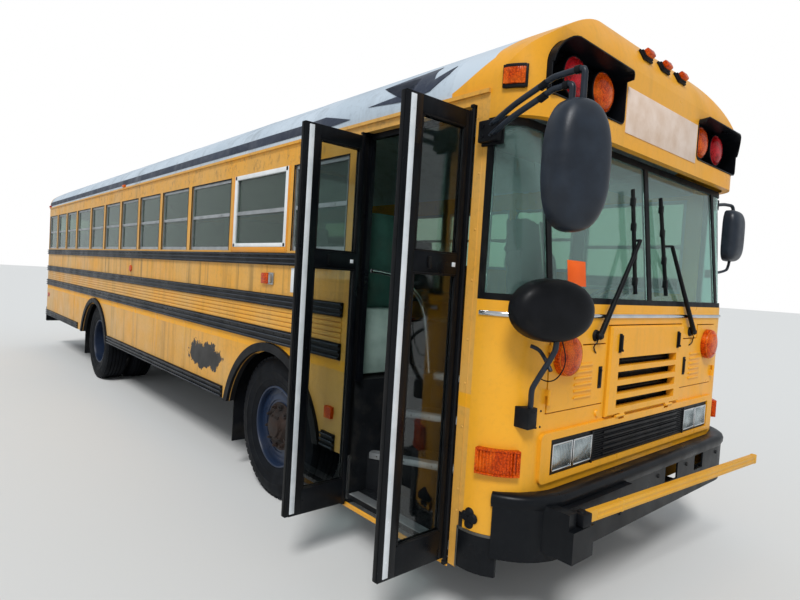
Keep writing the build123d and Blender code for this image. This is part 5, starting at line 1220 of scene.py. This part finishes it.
# %% Entrance leaves
LEAF_OUTER, LEAF_INNER = -1.628, -1.236
GLASS_Y = (-1.531, -1.264)
BAYS = ((0.450, 1.641), (1.731, 2.311))
for name, body, x_face, hinge_x in (("front", "front_leaf", -0.315, -0.310),
                                    ("rear", "rear_leaf", -1.088, -1.128)):
    x_back = x_face - 0.035
    x_mid = x_face - 0.0175
    frame_shape, silver, rubber, panes = (bmesh.new() for _ in range(4))
    for y in ((LEAF_OUTER, GLASS_Y[0]), (GLASS_Y[1], LEAF_INNER)):
        slab(frame_shape, (x_back, x_face), y, (0.317, 2.384), 0.003)
    for z in ((0.317, BAYS[0][0]), (BAYS[0][1], BAYS[1][0]), (BAYS[1][1], 2.384)):
        slab(frame_shape, (x_back + 0.0005, x_face - 0.0005), (GLASS_Y[0] - 0.004, GLASS_Y[1] + 0.004), z,
             0.002)
    peg(frame_shape, (hinge_x, -1.224, 0.309), (0, 0, 2.0906), 0.010, segments=20)
    reach = sorted((hinge_x, hinge_x + (-0.02 if name == "front" else 0.02)))
    slab(frame_shape, reach, (-1.238, -1.226), (0.317, 2.384), 0.001)
    piece = fit(frame_shape, "entrance_leaf_" + name, body, "black_paint")
    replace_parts(piece, "door_leaf_" + name)
    slab(silver, (x_face - 0.001, x_face + 0.004), (-1.602, -1.573), (0.330, 2.372), 0.0015)
    slab(silver, (x_face, x_face + 0.004), (-1.300, -1.280), (1.675, 1.695), 0.001)
    slab(rubber, (x_back + 0.006, x_face - 0.006), (LEAF_OUTER - 0.004, LEAF_OUTER + 0.002), (0.320, 2.380),
         0.002)
    slab(rubber, (x_back + 0.010, x_face - 0.010), (-1.60, -1.26), (0.3095, 0.319), 0.003)
    for low, high in BAYS:
        slab(panes, (x_mid - 0.0025, x_mid + 0.0025), GLASS_Y, (low, high), 0)
        for x in ((x_back + 0.0005, x_mid - 0.003), (x_mid + 0.003, x_face - 0.0005)):
            for y in ((GLASS_Y[0], GLASS_Y[0] + 0.009), (GLASS_Y[1] - 0.009, GLASS_Y[1])):
                slab(rubber, x, y, (low, high), 0.002)
            for z in ((low, low + 0.009), (high - 0.009, high)):
                slab(rubber, x, GLASS_Y, z, 0.002)
    for count in range(12):
        peg(silver, (x_face + 0.004, -1.5875, 0.40 + count * 0.174), (0.0015, 0, 0), 0.004, 0.003, 8)
    slab(rubber, (x_face, x_face + 0.012), (-1.452, -1.438), (1.660, 1.712), 0.003)
    fit(silver, body + "_bright_strip", body, "bright_strip")
    fit(rubber, body + "_seals", body, "seal_rubber")
    piece = fit(panes, "entrance_panes_" + name, body, "door_glass")
    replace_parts(piece, "door_leaf_" + name + "_glass")

# %% [markdown]
# ## Steps
# The treads are black rubber with a grid of raised studs, and each front edge has a ribbed aluminium
# nosing held by screws. The doorway's sill has a wider plate with a painted front edge.

# %% Step studs and nosings
STEP_TURN = math.radians(29.0)
STEP_SLOPE = 0.5543
STEP_LINES = ((0.335, -1.178, 0.0), (0.560, -1.048, STEP_TURN), (0.780, -0.790, STEP_TURN),
              (1.000, -0.550, STEP_TURN))
NOSING_BARS = ((-0.004, 0.046, 0.0, 0.0035), (0.004, 0.008, 0.003, 0.0055), (0.014, 0.018, 0.003, 0.0055),
               (0.024, 0.028, 0.003, 0.0055), (0.034, 0.038, 0.003, 0.0055),
               (-0.006, -0.0005, -0.034, 0.0035))
DOORWAY = (-1.143, -0.295)
studs = bmesh.new()
nosing = bmesh.new()
screws = bmesh.new()
for level, (z, line_y, angle) in enumerate(STEP_LINES):
    slope = math.tan(angle)
    wide = DOORWAY[1] - DOORWAY[0]
    for row in range(9):
        for column in range(30):
            x = DOORWAY[0] + 0.022 + column * 0.0275
            y = line_y + 0.055 + row * 0.0275 + (x - DOORWAY[0]) * slope
            inner = -0.46 if level < 3 else -0.20
            ahead = STEP_LINES[level + 1][1] + (x - DOORWAY[0]) * STEP_SLOPE if level < 3 else 9
            if y < min(inner, ahead) - 0.02 and x < DOORWAY[1] - 0.02 and (level < 3 or x < -0.70):
                peg(studs, (x, y, z), (0, 0, 0.0028), 0.0085, 0.006, 8)
    if level == 0:
        slab(nosing, (DOORWAY[0] + 0.01, DOORWAY[1] - 0.01), (-1.178, -1.110), (z, z + 0.004), 0.0015)
        for count in range(7):
            y = -1.174 + count * 0.009
            slab(nosing, (DOORWAY[0] + 0.012, DOORWAY[1] - 0.012), (y, y + 0.005), (z + 0.0035, z + 0.006),
                 0.0008)
        continue
    run_x, run_y = math.cos(angle), math.sin(angle)
    reach = min(wide / run_x, (-0.452 - line_y) / run_y) - 0.02
    turn = Matrix.Rotation(angle, 4, "Z")
    for low, high, base, top in NOSING_BARS:
        middle_along = reach / 2 + 0.012
        middle_off = (low + high) / 2
        x = DOORWAY[0] + middle_along * run_x - middle_off * run_y
        y = line_y + middle_along * run_y + middle_off * run_x
        slab(nosing, *about((x, y), (reach, high - low)), (z + base, z + top), 0.0008, turn)
    for count in range(6):
        step = 0.06 + count * (reach - 0.1) / 5
        x = DOORWAY[0] + step * run_x + 0.007 * run_y
        y = line_y + step * run_y - 0.007 * run_x
        peg(screws, (x, y, z - 0.016), (0.0012, -0.0022, 0), 0.0045, 0.003, 8)
fit(studs, "step_studs", BODY, "step_rubber")
fit(nosing, "step_nosings", BODY, "window_aluminium")
fit(screws, "step_screws", BODY, "bolt_steel")
shape = bmesh.new()
slab(shape, (DOORWAY[0] + 0.006, DOORWAY[1] - 0.006), (-1.2185, -1.2135), (0.280, 0.3085), 0.0015)
fit(shape, "sill_edge", BODY, "yellow_paint")
shape = bmesh.new()
slab(shape, (-0.270, -0.264), (-1.165, -0.470), (0.350, 1.480), 0.002)
for y in (-1.150, -0.930, -0.700, -0.490):
    slab(shape, (-0.276, -0.268), (y, y + 0.022), (0.370, 1.460), 0.003)
fit(shape, "stepwell_front_panel", BODY, "cover_plastic")

# %% Inside the doorway
wire("entrance_handrail", ((-1.10, -0.62, 1.02), (-1.10, -0.66, 1.30), (-1.09, -0.74, 1.50),
                           (-1.06, -0.98, 1.62), (-1.06, -1.12, 1.64), (-1.06, -1.165, 1.64)),
     0.013, BODY, "bright_chrome")
shape = bmesh.new()
slab(shape, (-1.235, -1.215), (-1.16, -0.70), (1.02, 1.43), 0.006)
fit(shape, "stepwell_guard", BODY, "grey_board")
shape = bmesh.new()
slab(shape, (-1.262, -1.202), (-1.168, -0.74), (1.42, 1.99), 0.0)
corners = [e for e in shape.edges if abs((e.verts[0].co - e.verts[1].co).x) > 0.01 and e.verts[0].co.z > 1.9]
bmesh.ops.bevel(shape, geom=corners, offset=0.14, segments=8, profile=0.5, affect="EDGES", material=-1)
bmesh.ops.bevel(shape, geom=shape.edges[:], offset=0.018, segments=3, profile=0.5, affect="EDGES",
                material=-1)
fit(shape, "stepwell_pad", BODY, "seat_vinyl", sharp=60)
shape = bmesh.new()
slab(shape, (-0.62, -0.17), (-0.95, 0.95), (2.352, 2.364), 0.004)
slab(shape, (-0.60, -0.20), (0.30, 0.95), (2.30, 2.352), 0.010)
fit(shape, "header_panel", BODY, "cover_plastic")
shape = bmesh.new()
for y in (0.62, 0.72, 0.82, 0.92):
    lathe(shape, ((0.0, 0.004), (0.034, 0.004), (0.036, 0.008), (0.040, 0.008), (0.040, 0.0)),
          (-0.160, y, 1.455), (-0.92, 0, 0.39), 24)
slab(shape, (-0.30, -0.18), (-0.40, 0.35), (1.485, 1.497), 0.004)
for count in range(8):
    slab(shape, (-0.24, -0.222), (0.05 + count * 0.04, 0.07 + count * 0.04), (1.496, 1.506), 0.002)
fit(shape, "dash_gauges_and_switches", BODY, "cover_plastic")

# %% [markdown]
# ## Seats
# A school seat is foam under stretched vinyl, so its faces are crowned and its edges round. The frame's
# seats are plain, and each gets a soft padded cover over cushion and back: a cube cut into a grid, whose
# corners are pulled in towards a rounded form.

# %% Seat covers
def cushion(shape, x, y, z, turn=None, crisp=6.0):
    """A block whose faces are crowned and whose edges are pulled in, like foam under a tight cover."""
    low, high = spot_at(min(x), min(y), min(z)), spot_at(max(x), max(y), max(z))
    block = bmesh.new()
    bmesh.ops.create_cube(block, size=2)
    bmesh.ops.subdivide_edges(block, edges=block.edges[:], cuts=7, use_grid_fill=True)
    for corner in block.verts:
        corner.co /= sum(abs(part) ** crisp for part in corner.co) ** (1 / crisp)
    middle, half = (low + high) / 2, (high - low) / 2
    place = Matrix.Translation(middle) @ (turn or Matrix()) @ Matrix.Diagonal((*half, 1))
    bmesh.ops.transform(block, matrix=place, verts=block.verts)
    join(shape, block)


shape = bmesh.new()
lean = Matrix.Rotation(math.radians(-6.5), 4, "Y")
for row in range(11):
    rear_x = -10.15 + row * 0.715
    for side in SIDES:
        y = sorted((side * 0.178, side * 1.168))
        cushion(shape, (rear_x - 0.066, rear_x + 0.078), y, (1.420, 2.024), lean)
        cushion(shape, (rear_x + 0.055, rear_x + 0.493), y, (1.388, 1.500))
fit(shape, "seat_covers", BODY, "seat_vinyl", sharp=80)
shape = bmesh.new()
lean = Matrix.Rotation(math.radians(-5.0), 4, "Y")
cushion(shape, (-1.480, -1.335), (0.548, 1.052), (1.39, 1.96), lean, 5.0)
cushion(shape, (-1.500, -1.395), (0.595, 1.005), (1.92, 2.172), lean, 4.0)
cushion(shape, (-1.36, -0.950), (0.548, 1.052), (1.370, 1.510), None, 5.0)
for y in (0.553, 1.002):
    cushion(shape, (-1.425, -1.296), (y - 0.005, y + 0.050), (1.43, 1.90), lean, 3.0)
fit(shape, "driver_seat_cover", BODY, "driver_vinyl", sharp=80)

# %% [markdown]
# ## Small things on the sides
# Marker lamps, reflectors, a blank notice by the door, the blank orange sticker inside the windshield,
# and the white frame of one replaced window with its painted border.

# %% Side markers and blank notices
red = bmesh.new()
amber = bmesh.new()
metal = bmesh.new()
paper = bmesh.new()
for side in SIDES:
    y = side * HALF_WIDTH
    slab(metal, (-2.150, -2.075), (y, y + side * 0.012), (1.508, 1.592), 0.003)
    slab(metal, (-2.110, -2.084), (y + side * 0.010, y + side * 0.030), (1.520, 1.580), 0.005)
    slab(amber, (-2.235, -2.140), (y, y + side * 0.022), (1.512, 1.588), 0.006)
    peg(amber, (-1.314, y, 0.785), (0, side * 0.012, 0), 0.037, 0.034, 32)
    peg(amber, (-5.40, y, 1.53), (0, side * 0.012, 0), 0.037, 0.034, 32)
    peg(red, (-10.18, y, 0.93), (0, side * 0.012, 0), 0.037, 0.034, 32)
    slab(amber, (-5.806, -5.724), (y, y + side * 0.026), (2.474, 2.502), 0.006)
    slab(red, (-10.306, -10.224), (y, y + side * 0.026), (2.474, 2.502), 0.006)
slab(paper, (-1.85, -1.715), (-HALF_WIDTH - 0.0018, -HALF_WIDTH + 0.0005), (1.470, 1.632), 0.0006)
fit(amber, "side_amber_lenses", BODY, "amber_lens")
fit(red, "side_red_lenses", BODY, "red_lens")
fit(metal, "side_signal_brackets", BODY, "window_aluminium")
fit(paper, "blank_side_notice", BODY, "white_film")
shape = bmesh.new()
slab(shape, (-0.026, -0.0245), (-0.820, -0.660), (1.622, 1.744), 0.0005,
     Matrix.Rotation(math.radians(-6.3), 4, "Y"))
fit(shape, "blank_orange_sticker", BODY, "orange_film")

# %% The replaced window
white = bmesh.new()
border = bmesh.new()
low_x, high_x = -2.763, -1.955
y = (-HALF_WIDTH - 0.003, -HALF_WIDTH + 0.012)
for x in ((low_x - 0.006, low_x + 0.030), (high_x - 0.030, high_x + 0.006)):
    slab(white, x, y, (1.772, 2.318), 0.003)
for z in ((1.772, 1.800), (2.286, 2.318)):
    slab(white, (low_x, high_x), y, z, 0.003)
slab(border, (low_x - 0.006, high_x + 0.006), y, (1.732, 1.771), 0.003)
for x in ((low_x - 0.030, low_x - 0.007), (high_x + 0.007, high_x + 0.030)):
    slab(border, x, y, (1.735, 2.318), 0.003)
fit(white, "white_window_frame", BODY, "white_film")
fit(border, "orange_window_border", BODY, "orange_border")

# %% Sash catches and gaskets
catch = bmesh.new()
gasket = bmesh.new()
REAR_EDGES = (-1.88,) + PILLARS[1:] + (-10.305,)
opening = [(-1.88, -1.256)] + [(REAR_EDGES[k + 1], REAR_EDGES[k] - 0.075) for k in range(len(REAR_EDGES) - 1)]
for side in SIDES:
    inner, outer = sorted((side * (HALF_WIDTH - 0.004), side * (HALF_WIDTH + 0.0015)))
    for low, high in opening:
        if side < 0 and low_x - 0.05 < low < high_x:
            continue
        for x in ((low - 0.001, low + 0.007), (high - 0.007, high + 0.001)):
            slab(gasket, x, (inner, outer), (1.746, 2.313), 0.001)
        slab(gasket, (low, high), (inner, outer), (2.306, 2.314), 0.001)
        y = side * (HALF_WIDTH - 0.0105)
        for share in (0.25, 0.75):
            x = low + (high - low) * share
            slab(catch, (x - 0.022, x + 0.022), sorted((y, y + side * 0.006)), (2.024, 2.036), 0.002)
        slab(catch, (low + 0.03, high - 0.03), sorted((y, y + side * 0.004)), (2.0165, 2.0205), 0.001)
fit(catch, "sash_catches", BODY, "window_aluminium")
fit(gasket, "window_gaskets", BODY, "seal_rubber")

# %% [markdown]
# ## Rail bolts, bumper bolts and skirts
# The rub rails are bolted at every body post. Carriage bolts hold the bumper to its brackets.

# %% Rib highlights and rubbed paint on the rails
# Grey strips on the outer face of each rib: painted highlights along the crests, which also stand for rubbed
# paint.
shape = bmesh.new()
for low, high, spans in ((1.104, 1.204, ((-10.315, -1.245),)), (1.359, 1.444, ((-10.315, -1.245),)),
                         (1.646, 1.730, ((-10.315, -1.245),)),
                         (0.566, 0.660, ((-10.315, -7.895), (-6.236, -2.828), (-1.385, -1.255)))):
    rib = (high - low) / 7
    for count in (0.5, 3, 5.5):
        z = low + (count + 0.55) * rib
        for x in spans:
            slab(shape, x, (-HALF_WIDTH - 0.0228, -HALF_WIDTH - 0.0215), (z, z + rib * 0.42), 0.0004)
mirrored(shape)
fit(shape, "rail_rubbed_edges", BODY, "worn_black")

# %% Bolts
shape = bmesh.new()
for side in SIDES:
    for z in (1.154, 1.4015, 1.688):
        for count in range(64):
            peg(shape, (-1.33 - count * 0.14, side * (HALF_WIDTH + 0.010), z + 0.0225), (0, side * 0.003, 0),
                0.006, 0.004, 6)
    for count in range(14):
        peg(shape, (-2.95 - count * 0.24, side * (HALF_WIDTH + 0.010), 0.630), (0, side * 0.003, 0), 0.006,
            0.004, 6)
for y in (-0.86, -0.40, 0.02, 0.40, 0.86):
    for z in (0.49, 0.60):
        if abs(y) != 0.86 or y > 0:
            peg(shape, (BUMPER_X, y, z), (0.007, 0, 0), 0.013, 0.009, 20)
            peg(shape, (-10.509, y, z), (-0.007, 0, 0), 0.013, 0.009, 20)
fit(shape, "rail_and_bumper_bolts", BODY, "trim_rubber")
shape = bmesh.new()
for side in SIDES:
    outer = side * HALF_WIDTH
    slab(shape, (-0.252, -0.243), sorted((outer, outer + side * 0.004)), (0.305, 0.495), 0.001)
    slab(shape, (-0.25, -0.216), sorted((outer, outer + side * 0.004)), (0.484, 0.497), 0.001)
for count in range(12):
    around_corner(shape, math.radians(44 + count * 4), 0.0015, 0.005, 0.0165, (0.484, 0.497), 0.001)
fit(shape, "corner_skirt_edges", BODY, "bolt_steel")

# %% [markdown]
# ## Crossing arm and stop arm
# The crossing arm is a fibre tube with moulded ends, and the stop sign has a reflective white border.

# %% Arm fittings
shape = bmesh.new()
tilt = Matrix.Rotation(math.radians(-4.3), 4, "Z")
run = tilt @ Vector((0, 1, 0))
foot = Vector((0.200, -0.930, 0.623))
for start_at, end_at in ((0.29, 0.31), (1.755, 1.785)):
    middle = foot + run * (start_at + end_at) / 2
    slab(shape, *about((middle.x, middle.y), (0.031, end_at - start_at)), (0.5955, 0.6505), 0.004, tilt)
fit(shape, "crossing_arm_bands", "crossing_arm", "arm_paint")
shape = bmesh.new()
slab(shape, (0.168, 0.232), (-0.962, -0.898), (0.5945, 0.6515), 0.005, tilt)
peg(shape, (0.200, -0.930, 0.651), (0, 0, 0.007), 0.020, 0.017, 20)
fit(shape, "crossing_arm_hub", "crossing_arm", "trim_rubber")
shape = bmesh.new()
for z in (0.604, 0.628):
    middle = foot + run * 0.93
    slab(shape, (middle.x + 0.011, middle.x + 0.0155), (middle.y - 0.83, middle.y + 0.83), (z, z + 0.014),
         0.002, tilt)
fit(shape, "crossing_arm_ribs", "crossing_arm", "arm_paint")
shape = bmesh.new()
for face_y in (1.266, 1.2575):
    edges = []
    for rim in (0.238, 0.224):
        points = [shape.verts.new(spot_at(-1.72 + dx, face_y, 1.53 + dz)) for dx,
                  dz in ring_of(8, rim, math.pi / 8)]
        edges += [shape.edges.new((points[k - 1], points[k])) for k in range(8)]
    bmesh.ops.bridge_loops(shape, edges=edges)
thicken(shape, 0.0012)
fit(shape, "stop_sign_border", "stop_arm", "white_film")

# %% [markdown]
# ## The rear and the roof hatches
# The emergency door has a lever, two hinge straps and seals round its panes, and each lamp has a lens with
# rings moulded in. Each hatch carries a flat vent with screws round it, and two hinges.

# %% Rear door and lamps
TURN_Y, TAIL_Y, TAIL_Z = 0.900, 0.700, 1.48
LAMP_RIM = ((0.089, 0.0), (0.102, 0.0), (0.102, 0.014), (0.097, 0.020), (0.089, 0.020))
TAIL = ((0.0885, 0.0), (0.0885, 0.022), (0.084, 0.027), (0.074, 0.025), (0.070, 0.0295), (0.056, 0.028),
        (0.052, 0.0325), (0.036, 0.031), (0.030, 0.035), (0.0, 0.036))
lever = bmesh.new()
slab(lever, (REAR - 0.040, REAR - 0.028), (0.25, 0.40), (1.540, 1.562), 0.004)
peg(lever, (REAR - 0.004, 0.385, 1.551), (-0.030, 0, 0), 0.014)
peg(lever, (REAR - 0.004, 0.385, 1.551), (-0.008, 0, 0), 0.030, 0.026, 24)
for z in (1.06, 2.29):
    slab(lever, (REAR - 0.012, REAR - 0.004), (-0.40, -0.34), (z - 0.02, z + 0.02), 0.003)
fit(lever, "rear_door_lever", "emergency_door", "bolt_steel")
shape = bmesh.new()
for low, high in ((1.120, 1.480), (1.640, 2.230)):
    for y in ((-0.342, -0.324), (0.324, 0.342)):
        slab(shape, (REAR - 0.010, REAR - 0.002), y, (low - 0.012, high + 0.012), 0.003)
    for z in ((low - 0.012, low + 0.006), (high - 0.006, high + 0.012)):
        slab(shape, (REAR - 0.010, REAR - 0.002), (-0.33, 0.33), z, 0.003)
fit(shape, "rear_door_gaskets", "emergency_door", "seal_rubber")
shape = bmesh.new()
for side in SIDES:
    inner, outer = sorted((side * 0.560, side * 1.080))
    for y in ((inner - 0.012, inner + 0.008), (outer - 0.008, outer + 0.012)):
        slab(shape, (REAR - 0.007, REAR + 0.003), y, (1.734, 2.325), 0.003)
    for z in ((1.734, 1.754), (2.305, 2.325)):
        slab(shape, (REAR - 0.007, REAR + 0.003), (inner, outer), z, 0.003)
    for y in (TAIL_Y, TURN_Y):
        lathe(shape, LAMP_RIM, (REAR, side * y, TAIL_Z), (-1, 0, 0), 40, True)
fit(shape, "rear_gaskets_and_rims", BODY, "seal_rubber")
red = bmesh.new()
amber = bmesh.new()
for side in SIDES:
    lathe(red, TAIL, (REAR, side * TAIL_Y, TAIL_Z), (-1, 0, 0), 40)
    lathe(amber, TAIL, (REAR, side * TURN_Y, TAIL_Z), (-1, 0, 0), 40)
    peg(red, (REAR, side * 1.06, 0.92), (-0.010, 0, 0), 0.036, 0.033, 28)
    lathe(red, TAIL, (REAR, side * 1.06, 1.12), (-1, 0, 0), 40)
fit(red, "tail_lenses", BODY, "red_lens")
fit(amber, "rear_turn_lenses", BODY, "amber_lens")
shape = bmesh.new()
for low, high in ((-1.19, -0.46), (0.46, 1.19)):
    for z in (0.79, 1.25, 1.70):
        slab(shape, (REAR - 0.010, REAR), (low, high), (z, z + 0.05), 0.004)
fit(shape, "rear_rub_rails", BODY, "trim_rubber")

# %% Roof hatch fittings
VENT = ((0.0, 0.011), (0.105, 0.0105), (0.125, 0.009), (0.130, 0.006), (0.128, 0.002), (0.100, 0.0),
        (0.0, 0.0))
for name, place in (("front_hatch", -3.3), ("rear_hatch", -7.9)):
    shape = bmesh.new()
    lathe(shape, VENT, (place, 0.0, CROWN_Z + 0.031), (0, 0, 1), 40)
    for dx, dy in ring_of(20, 0.132):
        peg(shape, (place + dx, dy, CROWN_Z + 0.033), (0, 0, 0.007), 0.004, 0.003, 6)
    for y in (-0.18, 0.18):
        slab(shape, (place - 0.318, place - 0.250), (y - 0.02, y + 0.02), (CROWN_Z + 0.012, CROWN_Z + 0.034),
             0.004)
    fit(shape, name + "_vent", name, "white_paint")

# %% What reaches past the frame's box
for thing in made_pieces:
    for corner in (min, max):
        for axis in range(3):
            reach = corner(v.co[axis] for v in thing.data.vertices)
            if reach < cad_box[0][axis] - 0.005 or reach > cad_box[1][axis] + 0.005:
                print("past the box", thing.name, "xyz"[axis], round(reach, 4))
print("pieces", len(made_pieces))
print("triangles", sum(len(f.vertices) - 2 for p in made_pieces for f in p.data.polygons))

# %% [markdown]
# ## Floor and light
# A wide pale floor and an even sky, with one soft sun from the front right, show the colours about as they
# are written. The camera sees a white surround, also through glass, and everything else a paler blue one.

# %% Stage
floor_mesh = bpy.data.meshes.new("floor_sheet")
shape = bmesh.new()
bmesh.ops.create_grid(shape, x_segments=1, y_segments=1, size=90)
shape.to_mesh(floor_mesh)
shape.free()
ground = bpy.data.objects.new("floor_sheet", floor_mesh)
bpy.context.scene.collection.objects.link(ground)
made, tree, shader, place = start("pale_floor")
shader.inputs["Base Color"].default_value = linear("D9D9D7")
shader.inputs["Roughness"].default_value = 0.9
ground.data.materials.append(made)

world = bpy.data.worlds.new("even_sky")
bpy.context.scene.world = world
world.use_nodes = True
tree = world.node_tree
tree.nodes.clear()
path = add(tree, "LightPath")
seen = add(tree, "Math", (path.outputs["Is Camera Ray"], path.outputs["Is Transmission Ray"]), 0,
           operation="MAXIMUM")
sky = add(tree, "Background", {"Color": (0.90, 0.95, 1.0, 1), "Strength": 0.60})
white = add(tree, "Background", {"Color": (1, 1, 1, 1), "Strength": 1.0})
both = add(tree, "MixShader", {0: seen, 1: sky.outputs[0], 2: white.outputs[0]})
add(tree, "OutputWorld", {"Surface": both.outputs[0]})

sun_data = bpy.data.lights.new("sun", "SUN")
sun_data.energy = 2.1
sun_data.angle = math.radians(16)
sun = bpy.data.objects.new("sun", sun_data)
sun.rotation_euler = (math.radians(38), math.radians(18), math.radians(20))
bpy.context.scene.collection.objects.link(sun)
bpy.context.scene.view_settings.view_transform = "Standard"
